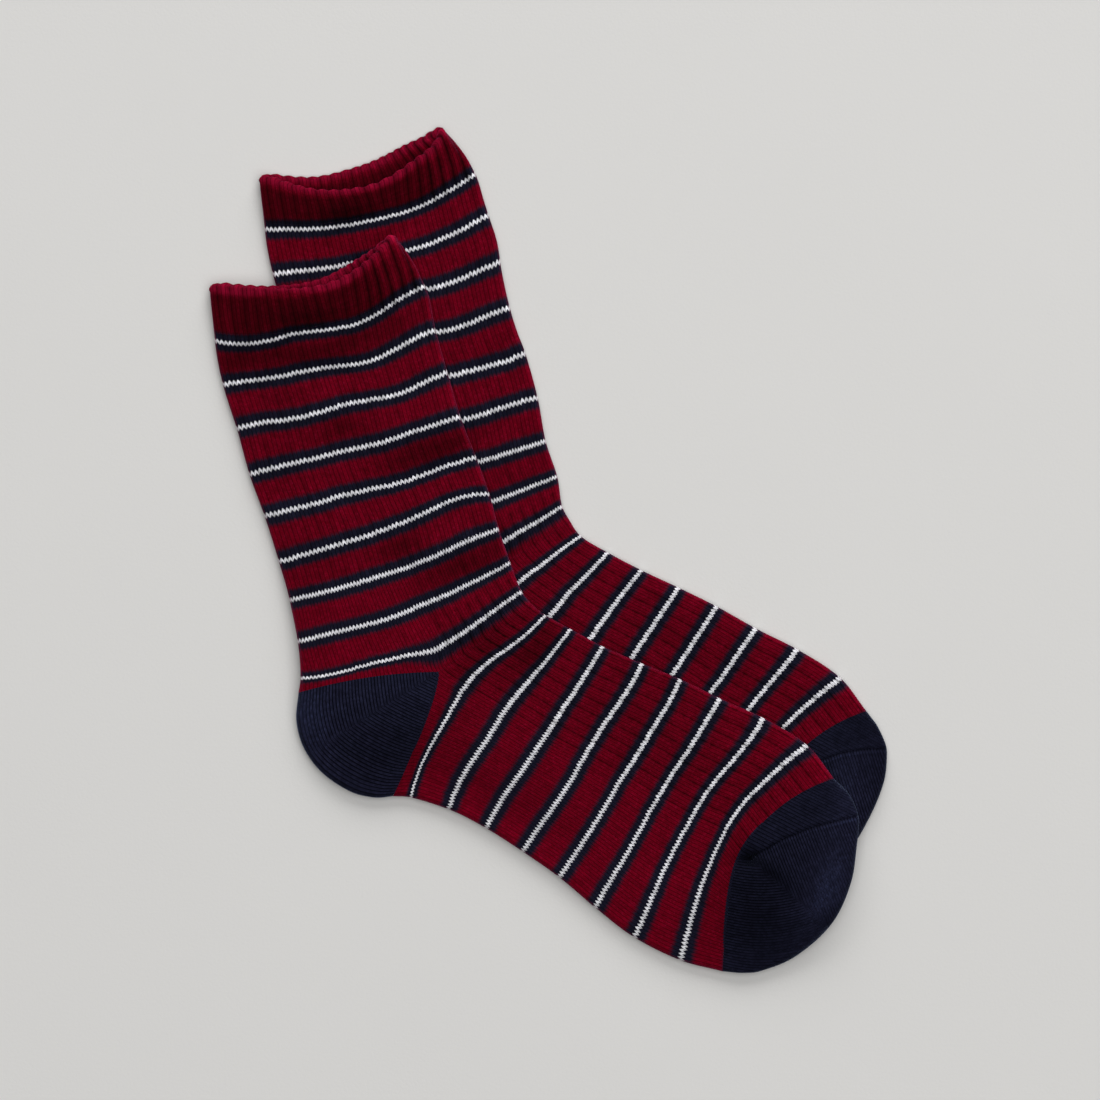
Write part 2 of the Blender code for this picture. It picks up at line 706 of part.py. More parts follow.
def centre_on_origin(things):
    """Moves the meshes so that the origin is the middle of the pair's underside."""
    corners = [v.co for thing in things for v in thing.data.vertices]
    low = Vector(min(c[k] for c in corners) for k in range(3))
    high = Vector(max(c[k] for c in corners) for k in range(3))
    middle = Vector(((low.x + high.x) / 2, (low.y + high.y) / 2, low.z))
    for thing in things:
        for vertex in thing.data.vertices:
            vertex.co -= middle


def main():
    clear_scene()
    materials = {name: knit_material(name) for name in COLOURS}
    makers = {"cuff": cuff_wall, "body": body_wall, "heel": heel_wall, "toe": toe_wall}
    things, lay = [], None
    for name, spec in SOCKS.items():
        sock = Sock(spec, lay)
        walls = {piece: maker(sock) for piece, maker in makers.items()}
        for piece, wall in walls.items():
            things.append(finish_wall(f"{name}_{piece}", wall, materials[PIECE_COLOURS[piece]]))
        lay = lay_over(walls.values())
    centre_on_origin(things)


main()
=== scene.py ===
# A pair of striped crew socks laid flat on their sides, the top sock partly over the under sock.
import math

import bmesh
import bpy
import numpy as np
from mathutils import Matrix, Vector
from mathutils.bvhtree import BVHTree


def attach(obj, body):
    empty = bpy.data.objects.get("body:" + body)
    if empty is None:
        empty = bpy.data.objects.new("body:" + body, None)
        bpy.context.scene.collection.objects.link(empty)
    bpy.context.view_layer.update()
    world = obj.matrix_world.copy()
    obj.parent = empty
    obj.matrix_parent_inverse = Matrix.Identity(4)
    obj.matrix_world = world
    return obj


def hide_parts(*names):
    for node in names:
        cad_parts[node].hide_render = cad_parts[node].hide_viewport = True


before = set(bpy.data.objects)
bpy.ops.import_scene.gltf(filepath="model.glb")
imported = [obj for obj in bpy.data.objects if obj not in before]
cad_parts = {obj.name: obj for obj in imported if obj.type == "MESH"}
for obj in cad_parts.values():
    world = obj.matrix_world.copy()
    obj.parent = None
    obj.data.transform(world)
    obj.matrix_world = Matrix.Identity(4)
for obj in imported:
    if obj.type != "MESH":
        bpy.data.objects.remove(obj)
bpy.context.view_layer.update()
print("frame loaded")

mm = 0.001
pairMiddle = (0.438, 0.4155)  # middle of the pair in the tables' own millimetres

# The knitting. Courses are counted down the sock from the rim, needles across a panel from its
# back fold over the side to its front fold. Lengths are millimetres.
knitting = {
    "sideNeedle": 36.0,
    "frontNeedle": 72.0,
    "courseLength": 0.745,
    "ribNeedles": 4.0,  # three knit and one purl
    "ribWales": 3.0,  # so each rib of the leg shows three columns of stitches
    "ribFirst": 38.0,  # first purl of the instep half
    "cuffEnd": 28.0,
    "heelCourse": 215.0,
    "toeCourse": 401.0,
    "backRibsEnd": (156.0, 168.0),  # the back half's ribs run out above the ankle
    "cornerFade": 30.0,  # courses from the heel over which the tube's corner there rounds off
    "seamGap": 0.03,
    "pocketWall": 1.6,
    "edgeHollow": 0.4,  # how far the hollow's fold is from its own middle
    "flatRise": 4.4,  # height of a sock's upper face where it lies flat
    "mouthDepth": 26.0,  # courses over which the mouth's own shape fades out
    "farRibShare": 0.5,  # the ribs under the sock are pressed flatter
    "ribReach": (1.7, 1.1),  # needles from a purl to the top of a rib, on the leg and on the foot
    "ribStart": (2.0, 4.0),  # needles from the back fold to the first rib's middle there
    "ribTurn": (185.0, 225.0),  # the courses over which the one becomes the other
    "ribCrown": 0.15,  # share of a rib's height that is its gentle crown
    "waleDepth": 0.08,
    "pocketBlur": 0.15,  # how far fuzz hides the columns of the heel and the toe
    "goreBlur": (0.5, 1.3),  # how much more along a gore, and how wide
}

# Plan of the leg and the foot where the top sock lies: back fold, side, front fold, and the bow
# of each half course towards the toe.
legTable = (
    # course, back x, back y, side x, side y, front x, front y, back bow, front bow
    (0, -127.5, 101.5, -90, 100, -58.5, 118.5, 1, 3.3),
    (32, -127, 80, -85, 83.5, -46.5, 100.5, 2, 2.5),
    (54, -123.9, 63.2, -81.5, 69.5, -42.5, 83.5, 0.2, 2.3),
    (76, -118.4, 45.7, -77, 55.5, -38, 67.5, 0.3, 2),
    (98, -113.7, 28.7, -72.5, 38.5, -33, 50.5, 0, 0.2),
    (120, -107.9, 12.7, -67, 23, -27, 35, 0, 0),
    (142, -102.6, -4.1, -61, 8.5, -22, 21, 0.7, -2),
    (164, -98.3, -19.1, -56, -7.5, -18.5, 8, 0.8, 0.5),
    (186, -95.1, -35.1, -50, -21.5, -14, -5, 0.3, 0.3),
    (208, -94.1, -48.6, -43.5, -38, -10, -15.5, -0.2, 1.6),
    (215, -94.9, -54, -41.5, -46, -6.5, -20, -1.9, 0.6),
)
footTable = (
    # course, sole x, sole y, side x, side y, instep x, instep y, sole bow, instep bow
    (215, -59, -93.5, -41.5, -46, -6.5, -20, 1.3, 0.6),
    (230, -52, -94, -31.5, -53, -1, -24.5, -2.1, -1.1),
    (252, -36.5, -99, -15.5, -62.5, 9, -30, -1.9, 0.5),
    (274, -23, -106, -1.5, -71, 21, -36.5, -0.8, 0.5),
    (296, -9, -115, 13.5, -79, 36, -43, 0, 0.6),
    (318, 4.5, -124.5, 27.5, -87, 50.5, -49, 0.2, 0.8),
    (340, 17.9, -135.8, 40.5, -95, 66, -56.5, 0.2, 0),
    (362, 32.7, -147.1, 54.5, -103, 82.5, -64, -0.6, -1.5),
    (384, 50.7, -156, 65.5, -108.5, 98.5, -74, -1.5, -3.6),
    (401, 66.4, -160.1, 72.5, -116.5, 108.5, -86.5, -1.3, -4.9),
)
clothTable = (
    # course, wall, rib depth
    (0, 2.2, 0.4),
    (20, 2.1, 0.5),
    (28, 1.7, 0.32),
    (40, 1.5, 0.16),
    (186, 1.5, 0.15),
    (215, 1.6, 0.17),
    (393, 1.5, 0.2),
    (401, 1.6, 0.18),
)
# Puffs, dents and creases of the upper panel.
swells = (
    # x, y, half length, half width, turned to, height
    (-100, 98, 34, 11, 5, 1),
    (-66, 107, 13, 9, 30, 1.5),
    (-58, 92, 26, 3.5, -62, 0.7),
    (-92, 68, 26, 5, -35, -0.5),
    (-66, 58, 30, 6, -65, 0.6),
    (-92, 25, 40, 14, -73, 0.6),
    (-48, 15, 26, 6, -70, 0.7),
    (-31, -28, 20, 5, 42, 0.8),
    (-37, -40, 12, 3.5, 20, -0.6),
    (-76, -70, 20, 16, -40, 2),
    (-12, -78, 34, 16, -32, 0.9),
    (44, -84, 46, 18, -32, 1),
    (28, -64, 34, 4, -28, -0.4),
    (92, -126, 22, 17, -60, 2.3),
    (76, -116.5, 6, 4, 30, -1.9),
    (88, -112, 12, 2.5, 28, -0.9),
    (98, -96, 14, 6, 28, 0.6),
    (76.4, -117.2, 2.4, 1.7, 35, -1.5),
    (84, -122.5, 8.5, 1.7, -38, -0.55),
    (77.5, -126, 7, 1.6, -72, -0.4),
    (83.5, -115, 7, 1.3, 12, -0.35),
    (70.5, -119, 4, 1.3, 25, -0.35),
    (-46, 47, 20, 5, 17, 0.8),
    (-42, 31, 20, 4.5, 17, -0.9),
    (-79, 52, 12, 4.5, -30, 0.5),
    (-36, 3, 18, 5, 23, 0.6),
    (-30, -12, 16, 4.5, 23, -0.8),
    (-102, 80, 30, 5, 2, 0.5),
    (-96, 65.5, 26, 4.5, 6, -0.6),
    (-8, -33, 12, 4, 46, 0.5),
    (0, -42, 12, 4, 46, -0.6),
)
# Painted shade and painted light, in stops: darker where creases, folds and hollows lie in shade,
# lighter where they face the light; on the navy, lighter also where the knit is fuzzier.
tones = (
    # x, y, half length, half width, turned to, stops
    (-100, 74, 28, 5.5, 3, -1.05),
    (-97, 59, 7, 4.5, 10, -0.35),
    (-45, 38, 18, 5, 17, -1.25),
    (-78, 46.5, 10, 4.5, 10, -0.85),
    (-56, 1.5, 9, 4.5, 18, -0.95),
    (-33, -5.5, 18, 4.5, 23, -0.95),
    (-23, -36, 14, 5, 38, -0.75),
    (-5, -38, 12, 5.5, 48, -0.95),
    (-48, 56, 16, 5, 15, 0.1),
    (-98, 16, 14, 5, 15, 0.4),
    (8, -117, 60, 9, -29, 0.35),
    (45, -74, 52, 12, -28, -0.3),
    (65, -42, 50, 10, -28, -0.3),
    (-77, 128, 10, 3.8, 8, -1.3),
    (-92, 88.5, 13, 4, 0, -0.9),
    (-122.5, 87, 4.5, 9, 0, 0.6),
    (-90, -63, 16, 9, -60, 0.4),
    (-58, -76, 18, 12, 60, -0.45),
    (76.2, -117, 3.2, 2.4, 30, -1.2),
    (77, -136, 12, 20, 10, -0.75),
    (84.5, -122.5, 10, 2.8, -38, -0.8),
    (108, -124, 9, 20, -8, 0.6),
    (100, -136, 5, 12, -25, 0.35),
    (88, -104, 16, 6, 28, 0.15),
    (118, -66, 12, 6, 30, -0.1),
    (-59, 115.5, 6, 3.5, 50, 0.6),
    (113, -82, 8, 12, 0, 0.3),
    (-68, 82, 19, 4.5, 21, -0.85),
    (-121, 72, 8, 5, 5, -0.6),
    (-82, -6, 18, 4.5, 12, -0.2),
    (-32, -56, 14, 9, 55, -0.25),
    (34, -43.5, 34, 5, -29, -0.3),
    (-74, -80, 20, 13, -40, -0.2),
    (115, -97, 8, 14, 0, 0.35),
)
# Where fuzz hides the columns of stitches, from 0 to 1.
blurs = (
    # x, y, half length, half width, turned to, share
    (-94, -66, 16, 7, -80, 0.6),
    (-74, -90, 16, 5, -20, 0.4),
    (106, -126, 20, 9, 72, 0.9),
    (88, -152, 20, 7, 18, 0.6),
    (119, -76, 12, 22, -25, 0.5),
)
# Where the tables below are read across a panel: at the mouth, and in the stripes.
mouthNeedles = (0, 18, 36, 54, 66, 72)
waverNeedles = (0, 9, 18, 27, 36, 45, 54, 63, 72)

# Stripes: a white line between two navy bands, again and again down the sock.
stripes = {
    "first": 32.0,
    "repeat": 22.0,
    "count": 17,
    "whiteHalf": (0.9, 0.87, 1.02),  # on the leg, the sole and the instep
    "whiteNudge": (-0.15, 0.0, 0.0),
    "navyHalf": (5.45, 5.05),  # on the leg and on the foot
    "whiteSoft": 0.12,
    "whiteJog": 0.25,  # courses that single wales of a stripe step up or down
    "navySoft": 1.45,  # courses over which navy and red mix on each side of a band's edge
    "navyMingle": 0.8,  # courses that the fibres carry a band's edge up or down
    "navyTooth": 0.5,  # share of the stitches' teeth that a band's edge shows
    "pocketTooth": 0.4,  # and that the edge of the heel's and the toe's navy shows
    "pocketSoft": 0.15,
    # courses that an edge rises at a wale's middle: the leg, the sole, the instep
    "toothHeight": (0.75, 0.78, 0.5),
    "noneAbove": 21.0,  # the cuff has no stripes
    # the stripes next to the heel are drawn thinner at the back: course, above it, below it
    "thinned": ((208.0, 0.6, 1.1), (230.0, 0.5, 0.5)),
    "thinnedNeedles": (24.0, 42.0),
    "thinnedFrom": (0.4, 2.6),  # courses from the middle, so that the white line keeps its width
    "thinnedReach": 5.0,
}

socks = {
    "under_sock": {
        # course, shift of the side right and up, shift of the front fold right and up, front bow
        "shift": (
            (0, 19, 42, 19, 42.5, 0),
            (24, 19, 42, 19.3, 42.6, 0),
            (40, 19, 42, 19.3, 42.6, 0),
            (54, 19, 42, 20.4, 43, 0),
            (66, 19, 42, 20.8, 43, 0),
            (80, 19, 41.8, 19.6, 42.3, 0),
            (98, 19, 41.5, 18.7, 41.6, 0),
            (110, 19, 41, 18.3, 41, 0),
            (120, 19, 40.5, 18.5, 40.2, 0),
            (142, 18.5, 37.5, 18.2, 37.2, 1.5),
            (164, 17.5, 36, 17.7, 33.9, 0),
            (186, 16.5, 35, 17.7, 33, 0),
            (208, 14.5, 35, 15.5, 32, 0),
            (230, 12.3, 33, 13.5, 30, 0),
            (252, 11, 31.5, 14.2, 29, 0),
            (274, 12, 30.5, 15, 28.8, 0),
            (296, 12, 30, 14.5, 28.5, 0),
            (340, 12.3, 27.5, 13.8, 26.5, 0),
            (384, 12.8, 25.5, 12.8, 25.5, 0),
            (430, 12.5, 25.5, 12.5, 25.5, 0),
        ),
        "toeFold": (
            (66.4, -160.1),
            (77.5, -160.2),
            (90.5, -153.5),
            (101, -141.2),
            (109.8, -126.5),
            (115.2, -113),
            (116.3, -102.5),
            (115.5, -98.2),
            (112, -91),
            (108.5, -86.5),
        ),
        "toeSeam": (
            (76.4, -113.5),
            (87.2, -106.4),
            (98.7, -102.3),
            (106.3, -101.1),
            (116.1, -100.7),
        ),
        "rimDrop": (0.3, 4.3, 3.8, 2.0, 1.6, -1.3),
        "farReach": (0.0, 4.6, 8.3, 7.4, 4.3, 0.0),
        "corners": ((2.2, 2.2), (1.0, 1.5)),  # how far the rim rounds off, over how many needles
        "frontFlare": 0.0,
        # how many courses each stripe dips towards the toe, at each of the waver needles
        "waver": (
            (-0.3, -1.3, -1.3, -0.8, -0.6, 0, -0.5, -1, -0.6),
            (0, 0.3, 0.6, 0.2, -0.6, -1.3, -1.6, -2.1, -1.8),
            (0, 0, 0, 0, 0.2, 0.3, 0, -0.7, 0.2),
            (0, 0, 0, 0, 0.3, 0.5, 1.1, 0, -0.5),
            (0, 0, 0, 0, 0, 0.2, 0.7, 1, 0.1),
            (0, 0, 0, 0, 0, -0.3, 0.3, -0.2, -0.2),
            (0, 0, 0, -0.5, -1.5, -2, -1.2, -0.8, 0.4),
            (0, 0, 0, -0.5, -1, -1.3, -0.8, -0.8, -0.4),
            (0, 0, 0, -0.5, -1, -1.2, -2, -1.6, -0.7),
            (0, 0, 0, 0, -0.5, -0.4, 0.3, 0.3, -0.2),
            (0, 0, 0, -0.2, -0.5, -1, -2, -1.3, -0.8),
            (0, 0, 0, 0, -0.3, -0.5, -1.3, -1.5, -0.7),
            (0, 0, 0, 0, 0, -0.2, -1, -1.3, -1.3),
            (0, 0, 0, -0.2, -0.4, -0.7, -1.2, -1.2, -0.8),
            (0, 0, 0, -0.2, -0.5, -0.8, -0.7, -1, -1.2),
            (0, 0, 0, -0.3, -0.8, -1.2, -1, -0.5, -1.2),
            (0, 0, 0.2, 0.4, 0.7, 1, 1.2, 1.1, -0.3),
        ),
        "liesOn": (),
    },
    "top_sock": {
        "shift": ((0, 0.0, 0.0, 0.0, 0.0, 0.0), (430, 0.0, 0.0, 0.0, 0.0, 0.0)),
        "toeFold": (
            (66.4, -160.1),
            (73, -160.7),
            (80.5, -160.1),
            (94.1, -154.4),
            (107.9, -141.7),
            (115, -126.3),
            (117.3, -111.5),
            (118, -102.2),
            (116.4, -96.4),
            (113, -90.8),
            (108.5, -86.5),
        ),
        "toeSeam": (
            (76.4, -116.7),
            (81.9, -113.6),
            (89.9, -109.1),
            (99, -105.3),
            (107.7, -103),
            (116.8, -100.7),
        ),
        "rimDrop": (0.0, 0.0, 0.0, -0.3, -1.3, -2.1),
        "farReach": (0.0, 0.6, 2.2, 3.2, 1.2, 0.0),
        "corners": ((2.2, 2.2), (2.6, 1.3)),
        "frontFlare": 1.5,
        "waver": (
            (0, 1.3, 0, -2, -0.5, 1.2, -0.5, -2.2, 0),
            (0, 0, 0, -0.5, -0.5, 0.5, -0.5, -2.1, -0.5),
            (-1, -1.2, 0.3, 0.8, 0, -0.2, 0.2, -1, -0.3),
            (-0.5, -0.7, -0.5, -0.8, -0.5, 0.2, -0.5, -0.5, -0.5),
            (-0.6, -0.6, -0.3, -1, -0.6, 0.6, 0, -1, -0.6),
            (0, 0, -0.5, -0.4, 0, 0.9, 0, -1.8, -1),
            (-0.5, -0.7, -0.5, -0.7, -0.5, -0.5, -1, -1.5, -0.3),
            (-0.7, -0.4, 0.5, 0.9, 0, 0, 0, -0.2, -1),
            (-0.2, 1.7, 0.5, -0.2, -0.2, -1, -1.5, -1.6, 0),
            (0, -1, 0, 0.2, -1, -1.5, 0.6, 2.2, 0),
            (-2, -2, -1, -0.7, -2, -2.5, -2, -1.4, -0.7),
            (-0.9, -0.9, -0.2, 0.4, 0, -0.5, -0.5, -0.5, -0.3),
            (-1, -0.7, 0, 0.5, -0.1, -1, -0.7, 0, -0.4),
            (-0.5, -0.1, 0.2, 0.5, 0.2, 0, -0.5, 0, -0.5),
            (0, -0.2, 0.4, 0.7, 0.6, 0.2, 0, -0.5, -1.2),
            (0.2, 0.2, -0.7, -1.2, -1.2, -1.2, 0.5, 1, -1),
            (-0.2, 0, 0.2, 0.7, 1, 1, 1.6, 1, -0.5),
        ),
        "liesOn": ("under_sock_cuff", "under_sock_body", "under_sock_heel", "under_sock_toe"),
    },
}


def soften(t):
    t = np.clip(t, 0.0, 1.0)
    return t * t * (3.0 - 2.0 * t)


def hump(distance, width):
    # 1 at distance 0, and next to nothing beyond twice the width
    return np.exp(-((distance / width) ** 2))


def along(knots, values, at):
    # a smooth curve through the values of a table, read at many places
    knots, values = np.asarray(knots, float), np.asarray(values, float)
    at = np.clip(np.asarray(at, float), knots[0], knots[-1])
    rows = np.arange(len(knots))
    before, after = np.maximum(rows - 1, 0), np.minimum(rows + 1, len(knots) - 1)
    wide = (...,) + (None,) * (values.ndim - 1)
    slopes = (values[after] - values[before]) / (knots[after] - knots[before])[wide]
    i = np.clip(np.searchsorted(knots, at, side="right") - 1, 0, len(knots) - 2)
    span = knots[i + 1] - knots[i]
    t = ((at - knots[i]) / span)[wide]
    span = span[wide]
    ends = values[i] * (1 + 2 * t) * (1 - t) ** 2 + values[i + 1] * t * t * (3 - 2 * t)
    return ends + slopes[i] * span * t * (1 - t) ** 2 + slopes[i + 1] * span * t * t * (t - 1)


def rowPoints(row):
    back, side, front = (np.array(row[k : k + 2], float) for k in (1, 3, 5))

    def middle(a, b, bow):
        run = b - a
        return (a + b) / 2 + bow * np.array((run[1], -run[0])) / np.linalg.norm(run)

    return np.array([back, middle(back, side, row[7]), side, middle(side, front, row[8]), front])


legCourses = np.array([row[0] for row in legTable], float)
legPoints = np.array([rowPoints(row) for row in legTable])
footCourses = np.array([row[0] for row in footTable], float)
footPoints = np.array([rowPoints(row) for row in footTable])
allCourses = np.concatenate([legCourses, footCourses[1:]])
allPoints = np.concatenate([legPoints, footPoints[1:]])


def coursePoints(course, foot):
    front = along(allCourses, allPoints, course)
    courses, points = (footCourses, footPoints) if foot else (legCourses, legPoints)
    back = along(courses, points, course)
    return np.concatenate([back[..., :2, :], front[..., 2:, :]], axis=-2)


def coursePlace(points, share, smoothing):
    # smoothing 0 leaves the heel's corner at the side, 1 rounds it
    back, backMiddle, side, frontMiddle, front = (points[..., k, :] for k in range(5))
    share = np.asarray(share, float)[..., None]
    smoothing = np.asarray(smoothing, float)[..., None]
    leaving, arriving = -3 * side + 4 * frontMiddle - front, back - 4 * backMiddle + 3 * side
    turn = smoothing * (leaving - arriving) / 2
    t = np.where(share <= 0.5, 2 * share, 2 * share - 1)
    r = 1 - t
    first = back * r * (1 - 2 * t) + 4 * backMiddle * t * r + side * t * (2 * t - 1)
    first = first + turn * t * t * (t - 1) * (2 * t - 1)
    second = side * r * (1 - 2 * t) + 4 * frontMiddle * t * r + front * t * (2 * t - 1)
    second = second + turn * r * r * (r - 1) * (2 * r - 1)
    return np.where(share <= 0.5, first, second)


def unit(vectors):
    return vectors / np.linalg.norm(vectors, axis=-1, keepdims=True)


def stepsOf(points):
    # the lengths between points that follow each other
    return np.linalg.norm(np.diff(points, axis=-2), axis=-1)


def downAt(points, share):
    # the direction along the sock towards its toe
    low, high = np.clip(share - 0.02, 0, 1), np.clip(share + 0.02, 0, 1)
    zero = np.zeros_like(share)
    run = coursePlace(points, high, zero) - coursePlace(points, low, zero)
    return unit(np.stack([run[..., 1], -run[..., 0]], axis=-1))


def clothAt(course):
    knots = [row[0] for row in clothTable]
    wall = np.interp(course, knots, [row[1] for row in clothTable])
    rib = np.interp(course, knots, [row[2] for row in clothTable])
    return wall, rib


def patchesAt(patches, place):
    # soft oval patches added up
    total = 0.0
    for x, y, halfLength, halfWidth, turned, height in patches:
        angle = math.radians(turned)
        dx, dy = place[..., 0] - x, place[..., 1] - y
        u = dx * math.cos(angle) + dy * math.sin(angle)
        v = dy * math.cos(angle) - dx * math.sin(angle)
        total = total + height * np.exp(-((u / halfLength) ** 2) - (v / halfWidth) ** 2)
    return total


def acrossPanel(needle, width, radius, inset):
    # distance from the back fold, half-height and turn there, round both folds of a panel
    bent = radius * math.pi / 2
    flat = width - 2 * inset - 2 * radius
    whole = flat + 2 * bent
    run = needle / knitting["frontNeedle"] * whole
    first, last = run < bent, run > flat + bent
    angle = np.where(last, (whole - run) / radius, math.pi / 2)
    angle = np.where(first, run / radius, angle)
    rounded = radius * (1 - np.cos(angle))
    ends = np.where(last, width - inset - rounded, inset + radius + run - bent)
    return np.where(first, inset + rounded, ends), radius * np.sin(angle), angle


def spanShare(value, span):
    return soften((value - span[0]) / (span[1] - span[0]))


def ribbedShare(course, needle):
    # 1 where the leg is ribbed, 0 where it is plain
    ribbed = 1 - spanShare(course, knitting["backRibsEnd"])
    return np.where(needle < knitting["sideNeedle"], ribbed, 1.0)


def aroundNeedle(needle, far):
    return 2 * knitting["frontNeedle"] - needle if far else needle


def leanAt(course, around):
    # how many needles the wales lie towards the front fold, most at the rim's front
    leg, foot = knitting["ribStart"]
    settled = leg + (foot - leg) * spanShare(course, knitting["ribTurn"])
    fan = np.minimum(spanShare(around, cuff["leanFrom"]), 1 - spanShare(around, cuff["leanTo"]))
    return settled + cuff["lean"] * np.clip(1 - course / cuff["leanEnd"], 0, 1) * fan


def ribWale(around):
    return knitting["ribWales"] / knitting["ribNeedles"] * (around - knitting["ribNeedles"] / 2)


def hasThreeColumns(course):
    # above the ankle a rib shows three columns of stitches, below it every needle shows
    return course < sum(knitting["backRibsEnd"]) / 2


def waverAt(sock, courses, needles):
    centres = stripes["first"] + stripes["repeat"] * np.arange(stripes["count"])
    rows = along(centres, sock["waver"], courses)
    return along(waverNeedles, rows.T, needles).T


def waleValley(wale):
    return np.abs(2 * (wale % 1.0) - 1) ** 3


def ribRelief(around, depth, course):
    # how far the face lies below the tops of the ribs, which are crowned a little
    purl, crown = knitting["ribNeedles"] / 2, knitting["ribCrown"]
    fromPurl = np.abs(around % knitting["ribNeedles"] - purl)
    leg, foot = knitting["ribReach"]
    reach = leg + (foot - leg) * spanShare(course, knitting["ribTurn"])
    side = (1 - crown) * soften(fromPurl / reach)
    return depth * (1 - side - crown * soften(fromPurl / purl))


def groundUnder(sock, place):
    return sock["ground"](place) if sock["ground"] else np.zeros(place.shape[:-1])


def lifted(sock, place, halfHeight, top, wall, far, inner):
    hollow = knitting["edgeHollow"]
    radius = wall + hollow
    share = halfHeight / (hollow if inner else radius)
    if far:
        rise = radius - share * (hollow if inner else radius)
    else:
        rise = radius + share * ((top - wall if inner else top) - radius)
    return np.concatenate([place, (groundUnder(sock, place) + rise)[..., None]], axis=-1)


def shifted(sock, place, course, share):
    # a place of the plan moved to where this sock lies
    rows = np.array(sock["shift"], float)
    shift = along(rows[:, 0], rows[:, 1:], course)
    forward = np.clip(2 * share - 1, 0, None)[..., None]
    moved = place + (1 - forward) * shift[..., :2] + forward * shift[..., 2:4]
    bow = 4 * forward * (1 - forward) * shift[..., 4:5]
    if np.any(bow):
        isFoot = (course > knitting["heelCourse"])[..., None, None]
        points = np.where(isFoot, coursePoints(course, True), coursePoints(course, False))
        moved = moved + bow * downAt(points, share)
    return moved


def crossed(down, across):
    return np.meshgrid(np.asarray(down, float), np.asarray(across, float), indexing="ij")


# How the top sock lies on the under sock.
lay = {"cell": 2.0, "reach": 7, "averages": (4, 2), "gap": 0.4, "top": 60.0}


def windowed(grid, reach, combine):
    for axis in (0, 1):
        grid = combine([np.roll(grid, step, axis=axis) for step in range(-reach, reach + 1)])
    return grid


def layOver(nodeNames):
    # the height at which cloth laid over these solids rests: felt for on a grid, then made gentle
    if not nodeNames:
        return None
    points, faces = [], []
    for name in nodeNames:
        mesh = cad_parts[name].data
        start = len(points)
        corners = np.array([vertex.co for vertex in mesh.vertices]) / mm
        corners[:, :2] += pairMiddle
        points += [Vector(corner) for corner in corners]
        faces += [[start + i for i in face.vertices] for face in mesh.polygons]
    tree = BVHTree.FromPolygons(points, faces)
    plan = np.array([corner[:2] for corner in points])
    cell = lay["cell"]
    margin = 2 * cell * (lay["reach"] + sum(lay["averages"]))
    low, high = plan.min(axis=0) - margin, plan.max(axis=0) + margin
    xs, ys = np.arange(low[0], high[0], cell), np.arange(low[1], high[1], cell)
    heights = np.zeros((len(xs), len(ys)))
    for i, x in enumerate(xs):
        for j, y in enumerate(ys):
            hit = tree.ray_cast(Vector((x, y, lay["top"])), Vector((0, 0, -1)))[0]
            heights[i, j] = hit.z + lay["gap"] if hit else 0.0
    soft = windowed(heights, lay["reach"], lambda grids: np.max(grids, axis=0))
    for reach in lay["averages"]:
        soft = windowed(soft, reach, lambda grids: np.mean(grids, axis=0))

    def height(place):
        u, v = (place[..., 0] - xs[0]) / cell, (place[..., 1] - ys[0]) / cell
        inside = (u >= 0) & (u < len(xs) - 1) & (v >= 0) & (v < len(ys) - 1)
        i = np.clip(u.astype(int), 0, len(xs) - 2)
        j = np.clip(v.astype(int), 0, len(ys) - 2)
        s, t = u - i, v - j
        low = soft[i, j] * (1 - s) + soft[i + 1, j] * s
        high = soft[i, j + 1] * (1 - s) + soft[i + 1, j + 1] * s
        return np.where(inside, low * (1 - t) + high * t, 0.0)

    return height


# Meshes: each piece is a set of grids of points, joined where they meet. A grid has one to three
# stitch maps, which give a point's wale and course, and each face takes the map picked for it.
faceCorners = (np.s_[:-1, :-1], np.s_[:-1, 1:], np.s_[1:, 1:], np.s_[1:, :-1])
joining = {"weld": 4e-6, "leastEdge": 1e-7, "smoothAngle": 65.0}


def newCloth():
    return {"points": [], "faces": [], "stitches": [], "shades": [], "count": 0}


def addGrid(cloth, points, maps, picked, shades):
    rows, columns = points.shape[:2]
    ids = cloth["count"] + np.arange(rows * columns).reshape(rows, columns)
    cloth["points"].append(points.reshape(-1, 3))
    cloth["count"] += rows * columns
    cloth["faces"].append(np.stack([ids[c].ravel() for c in faceCorners], axis=-1))
    stitches, shade = [], []
    choice = picked[None, ..., None]
    for c in faceCorners:
        choices = np.stack([stitchMap[c] for stitchMap in maps])
        stitches.append(np.take_along_axis(choices, choice, axis=0)[0].reshape(-1, 2))
        shade.append(shades[c].reshape(-1, 4))
    cloth["stitches"].append(np.stack(stitches, axis=1))
    cloth["shades"].append(np.stack(shade, axis=1))


def layerOnFaces(mesh, name, values):
    layer = mesh.uv_layers.new(name=name)
    layer.data.foreach_set("uv", values.astype(np.float32).ravel())


